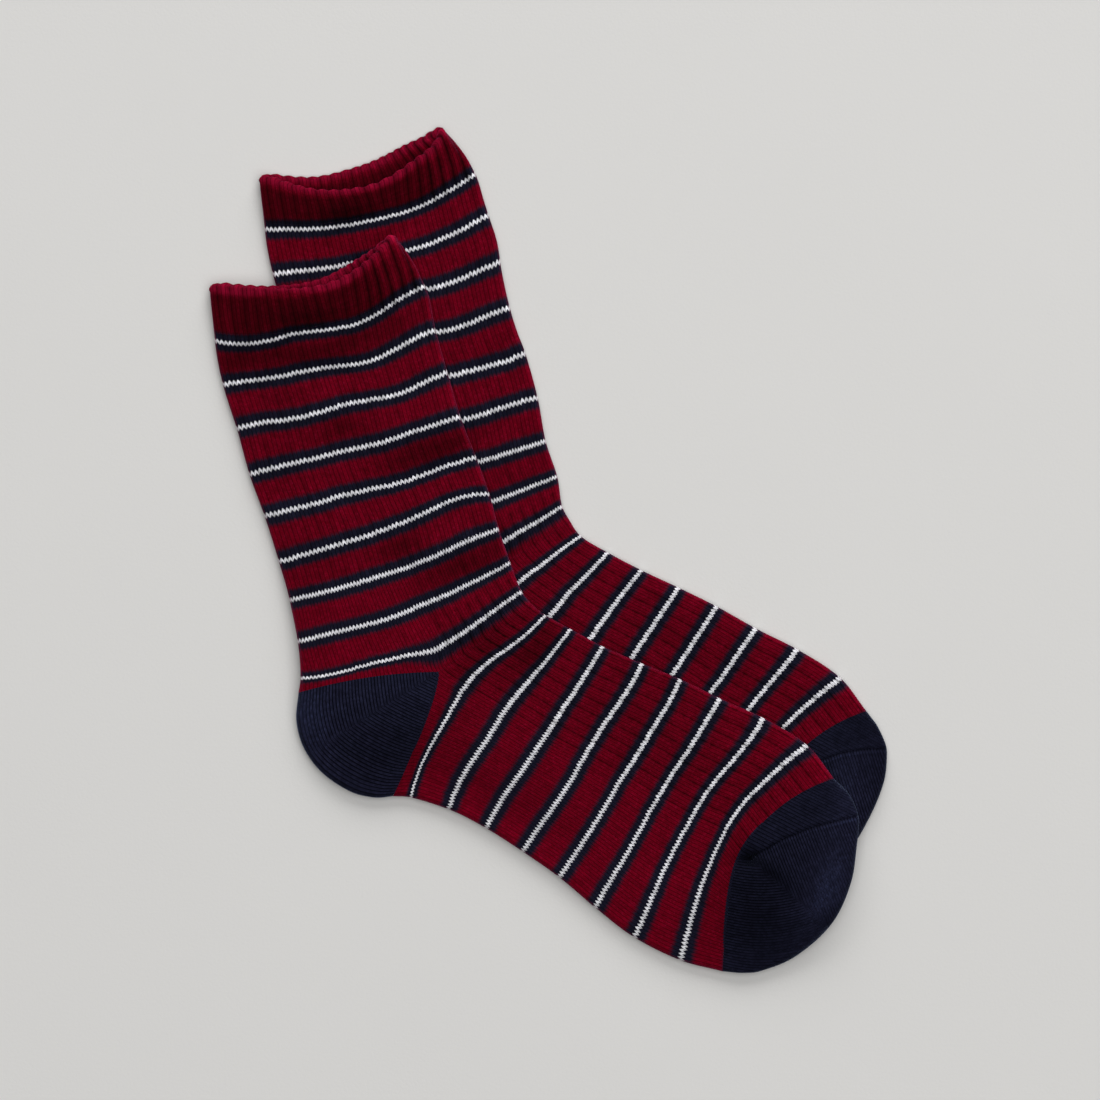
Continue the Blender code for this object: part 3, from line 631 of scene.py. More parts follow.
def finishCloth(sockName, piece, cloth, material):
    nodeName = sockName + "_" + piece
    points = np.concatenate(cloth["points"]) - np.array([*pairMiddle, 0.0])
    mesh = bpy.data.meshes.new(nodeName + "_knit")
    mesh.from_pydata((points * mm).tolist(), [], np.concatenate(cloth["faces"]).tolist())
    layerOnFaces(mesh, "stitches", np.concatenate(cloth["stitches"]))
    shades = np.concatenate(cloth["shades"])
    layerOnFaces(mesh, "shades", shades[..., :2])
    # the painted shade and light, with the needle or the blur beside it
    layerOnFaces(mesh, "tones", shades[..., 2:])
    shape = bmesh.new()
    shape.from_mesh(mesh)
    bmesh.ops.remove_doubles(shape, verts=shape.verts, dist=joining["weld"])
    bmesh.ops.dissolve_degenerate(shape, edges=shape.edges, dist=joining["leastEdge"])
    bmesh.ops.recalc_face_normals(shape, faces=shape.faces)
    openEdges = sum(1 for edge in shape.edges if len(edge.link_faces) != 2)
    area = sum(face.calc_area() for face in shape.faces)
    triangles = sum(len(face.verts) - 2 for face in shape.faces)
    shape.to_mesh(mesh)
    shape.free()
    mesh.materials.append(material)
    thing = bpy.data.objects.new(nodeName + "_knit", mesh)
    bpy.context.scene.collection.objects.link(thing)
    bpy.ops.object.select_all(action="DESELECT")
    thing.select_set(True)
    bpy.context.view_layer.objects.active = thing
    bpy.ops.object.shade_smooth_by_angle(angle=math.radians(joining["smoothAngle"]))
    mesh.uv_layers.active = mesh.uv_layers["stitches"]
    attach(thing, "root")
    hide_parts(nodeName)
    print(f"{thing.name}: {triangles} triangles, {openEdges} open edges, cloth {area / 2:.5f} m2")
    return thing


def spaced(start, end, step):
    return np.linspace(start, end, int(round(abs(end - start) / step)) + 1)


cuff = {
    "lipStart": 1.5,  # course where the rim starts to turn over
    "lipRows": 12,
    "rowStep": 0.8,
    "scallop": 0.35,  # how much shorter the rim is in a purl groove
    "cornerEnd": 6.0,  # course where the rim's rounded corners end
    "lean": 4.0,  # needles that the wales lean towards the front fold at the rim
    "leanEnd": 28.0,
    "leanFrom": (32.0, 56.0),
    "leanTo": (72.0, 108.0),
    "flare": 1.6,  # how far the welt stands out beyond the leg at its back fold
    "flareEnd": 34.0,
    "flareNeedles": (16.0, 10.0),  # how far the flare reaches from the back and the front fold
    "ribShade": (0.4, 0.78),  # how dark the grooves are, at the back and at the front
    "shadeNeedles": (44.0, 60.0),
    "shadeEnd": (28.0, 36.0),
    "rimHighlight": 0.35,  # stops of painted highlight on the fuzzy rim, where its roll catches the light
    "ribbingShade": 1.12,  # stops of painted shade in the close ribbing, whose grooves lie in shade
    "deeperFrom": (4.0, 8.5),
    "deeperTo": (26.0, 31.0),
    "deeperFade": 0.8,  # share of that which is lost towards the front
    "deeperNeedles": (46.0, 70.0),
    # stops of painted light on the inside faces, which lie in shade
    "insidePaintedLight": 0.1,
    "flat": (0.142, 0.021),
}
body = {
    "rowStep": 1.25,
    "insideStep": 14.0,  # courses between the rows of the plain inside
    "nearStep": 1 / 3,
    "farStep": 1.0,
    "legShade": 0.2,  # how dark the grooves are, on the leg and from this course on the foot
    "footShade": 0.42,
    "footFrom": 195.0,
    "ankleShade": ((-20.0, -33.0, 20.0, 9.0, 42.0, 0.26),),  # the bend opens the grooves
    "foldHighlight": (0.325, 0.65),  # stops of painted highlight along the back and front folds, where fuzz catches the light
    "foldReach": (2.0, 2.5),
    "navyReach": 3.0,  # courses from the navy of the heel and the toe that are told apart
    "flat": (0.166, 0.278),
    "area": 0.042,
}
nearNeedles = spaced(0, knitting["frontNeedle"], body["nearStep"])
farNeedles = spaced(knitting["frontNeedle"], 0, body["farStep"])


def mouthShift(sock, course, needle, far):
    # how far the cloth near the mouth is moved down the sock
    drop = along(mouthNeedles, sock["rimDrop"], needle)
    reach = along(mouthNeedles, sock["farReach"], needle) if far else 0.0
    fromFolds = (needle, knitting["frontNeedle"] - needle)
    for fromFold, (depth, needles) in zip(fromFolds, sock["corners"]):
        corner = depth * hump(fromFold, needles)
        drop = drop + corner * soften(1 - course / cuff["cornerEnd"])
    return soften(1 - course / knitting["mouthDepth"]) * (drop - reach)


def flareAt(sock, course, needle):
    back, front = cuff["flareNeedles"]
    fromFront = knitting["frontNeedle"] - needle
    flare = cuff["flare"] * soften(1 - needle / back)
    flare = flare - sock["frontFlare"] * soften(1 - fromFront / front)
    return flare * soften(1 - course / cuff["flareEnd"])


def tubePoints(sock, courses, across, far, inner, foot):
    # a grid of points of the cuff, leg or foot; course by course down, needle by needle across
    course, needle = crossed(courses, across)
    wall, rib = clothAt(course)
    points = coursePoints(courses, foot)[:, None]
    width = stepsOf(points).sum(axis=-1) + 0 * course
    radius = knitting["edgeHollow"] + (0 * wall if inner else wall)
    distance, halfHeight, angle = acrossPanel(needle, width, radius, wall if inner else 0.0)
    relief = 0.0 * course
    if not inner:
        around = aroundNeedle(needle, far)
        leaned = around - leanAt(course, around)
        ribbed = (needle >= knitting["sideNeedle"]) if foot else ribbedShare(course, needle)
        relief = ribRelief(leaned, rib * ribbed, course)
        if far:
            relief = relief * (1 - (1 - knitting["farRibShare"]) * np.sin(angle))
        else:
            wales = np.where(hasThreeColumns(course), ribWale(leaned), leaned)
            relief = relief + knitting["waleDepth"] * waleValley(wales) * np.sin(angle) ** 2
    inward = relief * np.cos(angle)
    distance = distance + np.where(needle < knitting["sideNeedle"], inward, -inward)
    share = np.clip(distance / width, 0, 1)
    smoothing = soften(np.abs(course - knitting["heelCourse"]) / knitting["cornerFade"])
    place = coursePlace(points, share, smoothing)
    down = downAt(points, share)
    place = place + down * mouthShift(sock, course, needle, far)[..., None]
    outwards = np.stack([down[..., 1], -down[..., 0]], axis=-1)
    place = place + outwards * flareAt(sock, course, needle)[..., None]
    top = knitting["flatRise"] + 2 * (wall - knitting["pocketWall"]) + patchesAt(swells, place)
    place = shifted(sock, place, course, share)
    found = lifted(sock, place, halfHeight, top, wall, far, inner)
    found[..., 2] += relief * np.sin(angle) * (1 if far else -1)
    return found


def overrunAt(piece, needle):
    first, last = piece["overrunNeedles"]
    within = np.clip((needle - first) / (last - first), 0, 1)
    return piece["overrun"] * np.sqrt(np.sin(math.pi * within))


def intoNavy(course, needle):
    # how many courses inside the navy of the heel or the toe a place of the foot lies
    pastHeel = overrunAt(heel, needle) - (course - knitting["heelCourse"])
    beforeToe = overrunAt(toe, needle) - (knitting["toeCourse"] - course)
    return np.clip(np.maximum(pastHeel, beforeToe), -body["navyReach"], body["navyReach"])


def thinned(pattern, needle):
    # the course that the pattern shows, where its stripes are drawn thinner next to the heel
    for centre, above, below in stripes["thinned"]:
        off = pattern - centre
        thinner = np.where(off > 0, below, above)
        thinner = thinner * (1 - spanShare(needle, stripes["thinnedNeedles"]))
        thinner = thinner * spanShare(np.abs(off), stripes["thinnedFrom"])
        pattern = pattern + thinner * off * hump(off, stripes["thinnedReach"])
    return pattern


def grooveShade(course, needle, place):
    # how dark the grooves between the ribs are
    back, front = cuff["ribShade"]
    cuffShade = back + (front - back) * spanShare(needle, cuff["shadeNeedles"])
    legShare = spanShare(course, cuff["shadeEnd"])
    shade = cuffShade + (body["legShade"] - cuffShade) * legShare
    shade = np.where(course < body["footFrom"], shade, body["footShade"])
    shade = shade + patchesAt(body["ankleShade"], place)
    return shade * ((needle >= knitting["ribFirst"]) | hasThreeColumns(course))


def paintedTubeShading(course, needle, place, far, inner):
    # painted shade and light, in stops: shade in the close ribbing, light on the inside faces, and
    # on the upper panel the patches and the highlights along the folds
    inCuff = spanShare(course, cuff["deeperFrom"]) * (1 - spanShare(course, cuff["deeperTo"]))
    lost = cuff["deeperFade"] * spanShare(needle, cuff["deeperNeedles"])
    tone = -cuff["ribbingShade"] * inCuff * (1 - lost)
    if inner:
        return tone + cuff["insidePaintedLight"]
    if far:
        return tone
    tone = tone + patchesAt(tones, place)
    fromFolds = (needle, knitting["frontNeedle"] - needle)
    for fromFold, stops, reach in zip(fromFolds, body["foldHighlight"], body["foldReach"]):
        tone = tone + stops * hump(fromFold, reach)
    return tone


def tubeGrid(sock, courses, needles, far, inner, foot):
    points = tubePoints(sock, courses, needles, far, inner, foot)
    place = points[..., :2]
    course, needle = crossed(courses, needles)
    around = aroundNeedle(needle, far)
    leaned = around - leanAt(course, around)
    pattern = thinned(course - waverAt(sock, courses, needles), needle)
    shade = grooveShade(course, needle, place)
    navy = intoNavy(course, needle) if foot else 0 * course - body["navyReach"]
    tone = paintedTubeShading(course, needle, place, far, inner)
    return {
        "points": points,
        "maps": [np.stack([wales, pattern], axis=-1) for wales in (leaned, ribWale(leaned))],
        "ribbed": hasThreeColumns(course),
        "shades": np.stack([shade, navy, tone, leaned], axis=-1),
    }


def placeGrid(cloth, grid):
    corners = [grid["ribbed"][c] for c in faceCorners]
    picked = np.logical_and.reduce(corners).astype(int)
    addGrid(cloth, grid["points"], grid["maps"], picked, grid["shades"])


def rimGrid(outer, inside, row, keep):
    # the cut edge of a wall, between one row of its outside and the same row of its inside
    return {
        "points": np.stack([outer["points"][row][keep], inside["points"][row][keep]]),
        "maps": [np.stack([stitchMap[row][keep]] * 2) for stitchMap in outer["maps"]],
        "ribbed": np.stack([outer["ribbed"][row][keep]] * 2),
        "shades": np.stack([outer["shades"][row][keep]] * 2),
    }


def bothPanels(sock, outerCourses, insideCourses, foot):
    panels = {}
    for far, needles in ((False, nearNeedles), (True, farNeedles)):
        panels[far] = {
            "needles": needles,
            "outer": tubeGrid(sock, outerCourses, needles, far, False, foot),
            "inside": tubeGrid(sock, insideCourses, needles, far, True, foot),
        }
    return panels


def closeRim(cloth, panels, row, lastNeedle):
    for panel in panels.values():
        keep = panel["needles"] <= lastNeedle
        placeGrid(cloth, rimGrid(panel["outer"], panel["inside"], row, keep))


def lipGrid(outer, inside):
    # the rim, which rolls over from the outside to the inside and is shorter in the purl grooves
    a, b = outer["points"][0], inside["points"][0]
    leaned = outer["maps"][0][0, :, 0]
    short = 1 - cuff["scallop"] * ribRelief(leaned, 1.0, cuff["lipStart"])
    half = (a - b) / 2
    size = np.linalg.norm(half, axis=-1, keepdims=True)
    roll = unit(a - outer["points"][1]) * size * short[:, None]
    turns = np.linspace(0, math.pi, cuff["lipRows"])[1:-1, None, None]
    lip = (a + b) / 2 + half * np.cos(turns) + roll * np.sin(turns)
    rows = np.concatenate([a[None], lip, b[None]])
    maps = [np.repeat(stitchMap[:1], len(rows), axis=0) for stitchMap in outer["maps"]]
    for lipMap in maps:
        lipMap[..., 1] -= cuff["lipStart"] * np.linspace(0, 2, len(rows))[:, None]
    return {
        "points": rows,
        "maps": maps,
        "ribbed": np.ones(rows.shape[:2], bool),
        "shades": np.repeat(outer["shades"][:1], len(rows), axis=0),
    }


def makeCuff(sockName, sock, material):
    cloth = newCloth()
    courses = spaced(cuff["lipStart"], knitting["cuffEnd"], cuff["rowStep"])
    panels = bothPanels(sock, courses, courses, False)
    for panel in panels.values():
        placeGrid(cloth, panel["outer"])
        placeGrid(cloth, panel["inside"])
        placeGrid(cloth, lipGrid(panel["outer"], panel["inside"]))
    closeRim(cloth, panels, -1, knitting["frontNeedle"])
    return finishCloth(sockName, "cuff", cloth, material)


def makeBody(sockName, sock, material):
    cloth = newCloth()
    front, side = knitting["frontNeedle"], knitting["sideNeedle"]
    first = knitting["cuffEnd"] + knitting["seamGap"] / knitting["courseLength"]
    heelCourse, toeCourse = knitting["heelCourse"], knitting["toeCourse"]
    legRows, footRows = (first, heelCourse), (heelCourse, toeCourse)
    leg, foot = (
        bothPanels(sock, spaced(*rows, body["rowStep"]), spaced(*rows, body["insideStep"]), isFoot)
        for rows, isFoot in ((legRows, False), (footRows, True))
    )
    for far in (False, True):
        shared = leg[far]["needles"] >= side
        for layer in ("outer", "inside"):
            foot[far][layer]["points"][0][shared] = leg[far][layer]["points"][-1][shared]
    for panels in (leg, foot):
        for panel in panels.values():
            placeGrid(cloth, panel["outer"])
            placeGrid(cloth, panel["inside"])
    closeRim(cloth, leg, 0, front)
    closeRim(cloth, leg, -1, side)
    closeRim(cloth, foot, 0, side)
    closeRim(cloth, foot, -1, front)
    return finishCloth(sockName, "body", cloth, material)


# The navy pockets of heel and toe.
def curveAt(points, share):
    points = np.array(points, float)
    knots = np.concatenate([[0.0], np.cumsum(stepsOf(points))])
    return along(knots, points, np.asarray(share, float) * knots[-1])


def pocketEdge(inner):
    # how far a face lies inside the pocket's folds, and the radius that it turns there
    wall, hollow = knitting["pocketWall"], knitting["edgeHollow"]
    return (wall, hollow) if inner else (0.0, wall + hollow)


def pocketPoints(sock, place, course, share, needle, width, far, inner, toFold=None):
    inset, radius = pocketEdge(inner)
    halfHeight = acrossPanel(needle, width, radius, inset)[1]
    if toFold is not None:
        inwards = radius - np.clip(toFold, 0, radius)
        halfHeight = halfHeight * np.sqrt(np.clip(radius**2 - inwards**2, 0, None)) / radius
    top = knitting["flatRise"] + patchesAt(swells, place)
    place = shifted(sock, place, course, share)
    found = lifted(sock, place, halfHeight, top, knitting["pocketWall"], far, inner)
    return found, halfHeight / radius


def acrossLine(plan, start, end):
    # the side of a line that a place lies on, above 0 on its left, times the line's length
    run = np.array(end, float) - np.array(start, float)
    return run[0] * (plan[..., 1] - start[1]) - run[1] * (plan[..., 0] - start[0])


def leftOf(plan, start, end):
    return acrossLine(plan, start, end) > 0


def fromLine(plan, start, end):
    length = np.linalg.norm(np.array(end, float) - np.array(start, float))
    return np.abs(acrossLine(plan, start, end)) / length


def pickAtMiddle(picked):
    # the map that most of a face's corners take
    corners = np.sort(np.stack([picked[c] for c in faceCorners]), axis=0)
    return corners[2]


def waleRelief(maps, picked, raised, blur):
    wales = np.stack([stitchMap[..., 0] for stitchMap in maps])
    wale = np.take_along_axis(wales, picked[None], axis=0)[0]
    return knitting["waleDepth"] * waleValley(wale) * raised**2 * np.clip(1 - blur, 0, 1)


def clothShades(points, goreGap):
    # painted shade and light, and blur, of a navy piece, whose columns are lost along its gore too
    shades = np.zeros((*points.shape[:-1], 4))
    place = points[..., :2]
    most, reach = knitting["goreBlur"]
    blur = knitting["pocketBlur"] + patchesAt(blurs, place)
    shades[..., 2] = patchesAt(tones, place)
    shades[..., 3] = np.clip(blur + most * hump(goreGap, reach), 0, 1)
    return shades


def closeEdge(cloth, rims, row):
    # the cut edge of a pocket, between one row of its outside and the same row of its inside
    outer, inside = rims
    points = np.stack([outer["points"][row], inside["points"][row]])
    maps = [np.stack([stitchMap[row]] * 2) for stitchMap in outer["maps"]]
    picked = np.zeros((1, points.shape[1] - 1), int)
    addGrid(cloth, points, maps, picked, np.zeros((*points.shape[:2], 4)))


def addPocket(cloth, gridOf, sock, shares, panels, edgeRows):
    # both faces of the near and of the far panel, and the cut edges between them
    for far, needles in zip((False, True), panels):
        rims = [gridOf(sock, shares, needles, far, inner) for inner in (False, True)]
        for grid in rims:
            addGrid(cloth, **grid)
        for row in edgeRows:
            closeEdge(cloth, rims, row)


def heelLines():
    # the heel's course as the leg has it and as the foot has it
    return [coursePoints(np.array([knitting["heelCourse"]]), foot)[0] for foot in (False, True)]


heel = {
    "overrun": 2.0,  # courses of the foot that are knitted in navy too
    "overrunNeedles": (14.0, 36.0),
    "fold": (
        (-94.9, -54),
        (-95.8, -64.5),
        (-93, -75),
        (-86, -84.5),
        (-75, -91.8),
        (-66, -94),
        (-59, -93.5),
    ),
    "goreEnd": (-92.0, -78.0),
    "wales": 44.0,  # columns from the fold to the corner
    "setback": 1.6,  # seam gaps that the tip stands back from the tube's corner
    "rows": 140,
    "nearStep": 0.25,
    "farStep": 1.0,
    "flat": (0.11, 0.052),
    "area": 0.004,
}


def heelPoints(sock, shares, needles, far, inner):
    # a fan round the heel's corner: share 0 is its edge at the leg, 1 its edge at the sole
    share, needle = crossed(shares, needles)
    leg, sole = heelLines()
    corner = leg[2]
    fold = curveAt(heel["fold"], share)
    width = 2 * np.linalg.norm(fold - corner, axis=-1)
    inset, radius = pocketEdge(inner)
    distance = acrossPanel(needle, width, radius, inset)[0]
    out = (1 - 2 * distance / width)[..., None]

    def edge(points, side):
        tangent = unit(points[0] - corner)
        normal = side * np.array((-tangent[1], tangent[0]))
        moved = knitting["seamGap"] * (normal + heel["setback"] * tangent * (1 - out) ** 8)
        return coursePlace(points, (1 - out[..., 0]) / 2, 0 * share) + moved

    spoke = corner + out * (fold - corner)
    atLeg = edge(leg, 1.0) - (corner + out * (leg[0] - corner))
    atSole = edge(sole, -1.0) - (corner + out * (sole[0] - corner))
    s = share[..., None]
    place = spoke + (1 - s) ** 2 * atLeg + s**2 * atSole
    course = knitting["heelCourse"] + 0 * share
    found, raised = pocketPoints(sock, place, course, 0 * share, needle, width, far, inner)
    return found, raised, place, out[..., 0]


def heelMaps(plan, out, far):
    # wales run down from the leg, turn at the gore and go on square to the sole's edge
    leg, sole = heelLines()
    corner = leg[2]
    gore = np.array(heel["goreEnd"]) - corner
    maps = []
    for edge, side in ((leg[0] - corner, 1), (sole[0] - corner, -1)):
        alpha, beta = np.moveaxis((plan - corner) @ np.linalg.inv(np.stack([edge, gore])), -1, 0)
        outward = (alpha + beta) * (1 - out**2) + out**3
        wale = aroundNeedle(heel["wales"] * (1 - outward), far)
        run = np.linalg.norm(plan - (corner + outward[..., None] * edge), axis=-1)
        maps.append(np.stack([wale, side * run / knitting["courseLength"]], axis=-1))
    below = leftOf(plan, corner, heel["goreEnd"])
    return maps, below.astype(int)


def heelGrid(sock, shares, needles, far, inner):
    points, raised, plan, out = heelPoints(sock, shares, needles, far, inner)
    maps, below = heelMaps(plan, out, far)
    corner = heelLines()[0][2]
    shades = clothShades(points, fromLine(plan, corner, heel["goreEnd"]))
    if not (inner or far):
        points[..., 2] -= waleRelief(maps, below, raised, shades[..., 3])
    tip = -1 if far else 0
    points[:, tip] = points[0, tip]
    return {"points": points, "maps": maps, "picked": pickAtMiddle(below), "shades": shades}


def makeHeel(sockName, sock, material):
    cloth = newCloth()
    shares = np.linspace(0, 1, heel["rows"])
    near = spaced(knitting["sideNeedle"], 0, heel["nearStep"])
    far = spaced(0, knitting["sideNeedle"], heel["farStep"])
    addPocket(cloth, heelGrid, sock, shares, (near, far), (0, -1))
    return finishCloth(sockName, "heel", cloth, material)


toe = {
    "overrun": 1.8,
    "overrunNeedles": (8.0, 48.0),
    "endReach": 6.0,  # the last course starts this far along the fold round the end
    "taper": 0.3,  # how much narrower the pocket is at its end
    "goreEnd": (101.65, -138.7),
    "waleWidth": 1.08,
    "bandEnd": (56.0, -112.0),  # below the line to here the columns curl round the end
    "bend": (81.0, 0.01),  # the lower columns lie level here and curl up to both sides
    "rows": 80,
    "straight": 0.92,  # share of the way to the fold that is in even rows
    "roundRows": 14,
    "tone": -0.4,
    "seamDepth": 0.286,
    "seamWidth": 0.38,
    "seamStitch": 1.3,
    "seamDip": 0.4,  # how much shallower the seam is between its stitches
    "ridgeHeight": 0.154,  # a ridge runs along each side of the seam
    "ridgeAway": 1.2,
    "ridgeWidth": 0.6,
    # painted highlight, in stops, on the ridge on the lower side of the seam, and how wide it is
    "ridgeHighlight": 0.45,
    "ridgeHighlightWidth": 0.5,
    "upperBlur": 0.35,  # the instep's side of the seam shows its columns less
    "flat": (0.15, 0.05),
    "area": 0.0052,
}


def toePoints(sock, shares, needles, far, inner):
    # share 0 is the toe line, 1 the fold round the end
    share, needle = crossed(shares, needles)
    line = coursePoints(np.array([knitting["toeCourse"]]), True)[0]
    width = stepsOf(line).sum() * (1 - toe["taper"] * share)
    inset, radius = pocketEdge(inner)
    at = acrossPanel(needle, width, radius, inset)[0] / width
    start = coursePlace(line, at, 1 + 0 * at) + knitting["seamGap"] * downAt(line, at)
    fold = np.array(sock["toeFold"], float)
    first = toe["endReach"] / stepsOf(fold).sum()
    place = first + at * (1 - 2 * first)
    end = curveAt(fold, place)
    if inner:
        low, high = (curveAt(fold, np.clip(place + step, 0, 1)) for step in (-0.01, 0.01))
        run = unit(high - low)
        end = end + inset * np.stack([-run[..., 1], run[..., 0]], axis=-1)
    reach = np.linalg.norm(end - start, axis=-1)
    plan = start + share[..., None] * (end - start)
    course = knitting["toeCourse"] + 0 * share
    toFold = (1 - share) * reach
    found, raised = pocketPoints(sock, plan, course, at, needle, width, far, inner, toFold)
    return found, raised, plan, share * reach


def seamRun(plan, seam):
    # distance to the linking seam, with its sign, and the place along it
    seam = np.array(seam, float)
    best, run, side, start = np.full(plan.shape[:-1], 1e9), 0.0, 0.0, 0.0
    for a, b in zip(seam, seam[1:]):
        length = np.linalg.norm(b - a)
        share = np.clip((plan - a) @ (b - a) / length**2, 0, 1)
        gap = np.linalg.norm(plan - (a + share[..., None] * (b - a)), axis=-1)
        nearer = gap < best
        best = np.where(nearer, gap, best)
        run = np.where(nearer, start + share * length, run)
        side = np.where(nearer, np.where(leftOf(plan, a, b), 1.0, -1.0), side)
        start += length
    return best * side, run


def toeMaps(sock, plan, needle, run, far):
    # wales go on from the foot, run along the seam above the gore, and curl round the end
    seam = np.array(sock["toeSeam"], float)
    chord = unit(seam[-1] - seam[0])
    fromSeam, alongSeam = seamRun(plan, seam)
    course = knitting["toeCourse"] + run / knitting["courseLength"]
    first = np.stack([aroundNeedle(needle, far), course], axis=-1)
    square = (plan - seam[0]) @ chord / toe["waleWidth"]
    second = np.stack([aroundNeedle(square, far), -fromSeam / knitting["courseLength"]], axis=-1)
    end = seam[0] + 3 * (np.array(toe["goreEnd"]) - seam[0])
    aboveGore = leftOf(plan, seam[0], end)
    middle, curl = toe["bend"]
    level = (plan[..., 1] - curl * (plan[..., 0] - middle) ** 2) / toe["waleWidth"]
    third = np.stack([level, plan[..., 0] / knitting["courseLength"]], axis=-1)
    picked = np.where((fromSeam < 0) & aboveGore, 1, 0)
    picked = np.where(~aboveGore & ~leftOf(plan, toe["bandEnd"], seam[0]), 2, picked)
    return [first, second, third], picked, fromSeam, alongSeam


def toeGrid(sock, shares, needles, far, inner):
    points, raised, plan, run = toePoints(sock, shares, needles, far, inner)
    needle = np.broadcast_to(needles[None, :], run.shape)
    maps, picked, fromSeam, alongSeam = toeMaps(sock, plan, needle, run, far)
    goreGap = fromLine(plan, sock["toeSeam"][0], toe["goreEnd"])
    shades = clothShades(points, np.where(picked == 0, np.inf, goreGap))
    shades[..., 2] += toe["tone"]
    grid = {"points": points, "maps": maps, "picked": pickAtMiddle(picked), "shades": shades}
    if inner:
        return grid
    dip = toe["seamDip"]
    stitched = 1 - dip + dip * np.cos(2 * math.pi * alongSeam / toe["seamStitch"])
    inSeam = hump(fromSeam, toe["seamWidth"]) * stitched
    beside = hump(np.abs(fromSeam) - toe["ridgeAway"], toe["ridgeWidth"])
    ridge = toe["ridgeHeight"] * beside - toe["seamDepth"] * inSeam
    shades[..., 1] = inSeam
    shades[..., 2] += toe["ridgeHighlight"] * hump(fromSeam + toe["ridgeAway"], toe["ridgeHighlightWidth"])
    shades[..., 3] = np.clip(shades[..., 3] + toe["upperBlur"] * (fromSeam > 0), 0, 1)
    if far:
        points[..., 2] += np.clip(-ridge, 0, None) * raised**2
    else:
        relief = waleRelief(maps, picked, raised, shades[..., 3])
        points[..., 2] += (ridge - relief) * raised**2
    return grid


def makeToe(sockName, sock, material):
    cloth = newCloth()
    straight = toe["straight"]
    turned = 1 - (1 - straight) * (1 - np.linspace(0, 1, toe["roundRows"])[1:]) ** 2
    shares = np.concatenate([np.linspace(0, straight, toe["rows"]), turned])
    addPocket(cloth, toeGrid, sock, shares, (nearNeedles, nearNeedles[::-1]), (0,))
    return finishCloth(sockName, "toe", cloth, material)


# Materials. A yarn's colour is linear red, green and blue.
yarns = {
    "red": (0.1095, 0.0002, 0.0061),
    "redFuzz": (0.18, 0.003, 0.02),
    "navy": (0.0085, 0.0089, 0.0205),
    "navyBand": (0.0068, 0.007, 0.0155),
    "navyFuzz": (0.0205, 0.0265, 0.064),
    "white": (0.66, 0.655, 0.69),
}
# Noise on the knitting: scale across its wales, scale along them, detail.
grains = {
    "fibres": (7.0, 3.0, 3.0),
    "streaks": (0.9, 0.06, 2.0),
    "patches": (0.16, 0.12, 3.0),
    "fuzz": (1.6, 0.5, 3.0),
    "specks": (2.4, 1.1, 1.0),
    "breaks": (0.5, 0.22, 2.0),
}
# Four numbers in a row are a soft step: where it starts and ends, and the values there.
stitch = {
    "depth": 0.00014,  # metres between the top of a stitch and the gap beside it
    "fibreHeight": 0.5,
    "legDip": (0.3, 0.7, 0.38, 1.0),  # a leg is rounder towards the side of its wale
    "jointDip": 0.35,  # where one stitch goes into the next
    "shade": (-0.35, 0.9, 0.55, 1.1),
    "streaks": 0.7,  # how much the yarn varies, down the wales and in soft patches
    "patches": 0.5,
    "grooveWidth": (0.42, 0.2),  # on the leg and on the foot, as a share of a rib
    "grooveBreaks": (0.35, 0.6),
    "faintest": (24.0, 40.0, 0.8, 0.35),  # the leg's grooves come and go, the cuff's run through
    "deepest": (24.0, 40.0, 1.0, 1.25),
    "seamShade": 0.8,
}
surface = {
    "Roughness": 0.95,
    "Specular IOR Level": 0.025,
    "Sheen Weight": 0.42,
    "Sheen Roughness": 0.28,
}
burgundy = {
    "fuzz": (0.5, 0.75, 0.0, 0.35),
    "specks": (0.58, 0.74, 0.0, 0.7),
    "rim": (3.5, 8.0, 1.0, 0.0),  # the fuzzy rim, by course
    "rimWander": 3.0,
    "rimFuzz": 0.6,
    "whiteTone": 0.6,  # how much less the white line takes the painted shade and light
    "between": (0.5, 1.0, 1.04, 0.8),  # shade from the middle of a wale to its side
    "uneven": 0.34,  # how much the yarn varies from stitch to stitch
    "tint": (0.8, 0.09, 0.28),
}
navyBlue = {
    "fuzz": (0.0, 0.6, 0.0, 0.6),
    "fuzzShare": 0.8,
    "toneShare": 0.5,  # where painted light makes the navy lighter, it is fuzzier too
    "fuzzFrom": 0.35,
    "between": (0.35, 0.9, 0.4, -0.85),
    "uneven": 0.55,
    "tint": (0.3, 0.38, 0.62),
}


def newMaterial(name):
    material = bpy.data.materials.new(name)
    material.use_nodes = True
    return material, material.node_tree, material.node_tree.nodes["Principled BSDF"]


def feed(tree, socket, value):
    if isinstance(value, bpy.types.NodeSocket):
        tree.links.new(value, socket)
    else:
        isColour = isinstance(value, tuple) and len(value) == 3
        socket.default_value = (*value, 1.0) if isColour else value


def calc(tree, operation, *values):
    node = tree.nodes.new("ShaderNodeMath")
    node.operation = operation
    for socket, value in zip(node.inputs, values):
        feed(tree, socket, value)
    return node.outputs[0]


def times(tree, first, second):
    return calc(tree, "MULTIPLY", first, second)


def plus(tree, first, second):
    return calc(tree, "ADD", first, second)


def minus(tree, first, second):
    return calc(tree, "SUBTRACT", first, second)


def scaled(tree, value, factor, added):
    return calc(tree, "MULTIPLY_ADD", value, factor, added)


def varied(tree, value, spread):
    # noise from 0 to 1 made a factor that varies by this much round 1
    return scaled(tree, value, spread, 1 - spread / 2)


def fromHalf(tree, value):
    # 1 at 0 and at 1, and 0 half-way
    return calc(tree, "ABSOLUTE", scaled(tree, value, 2.0, -1.0))


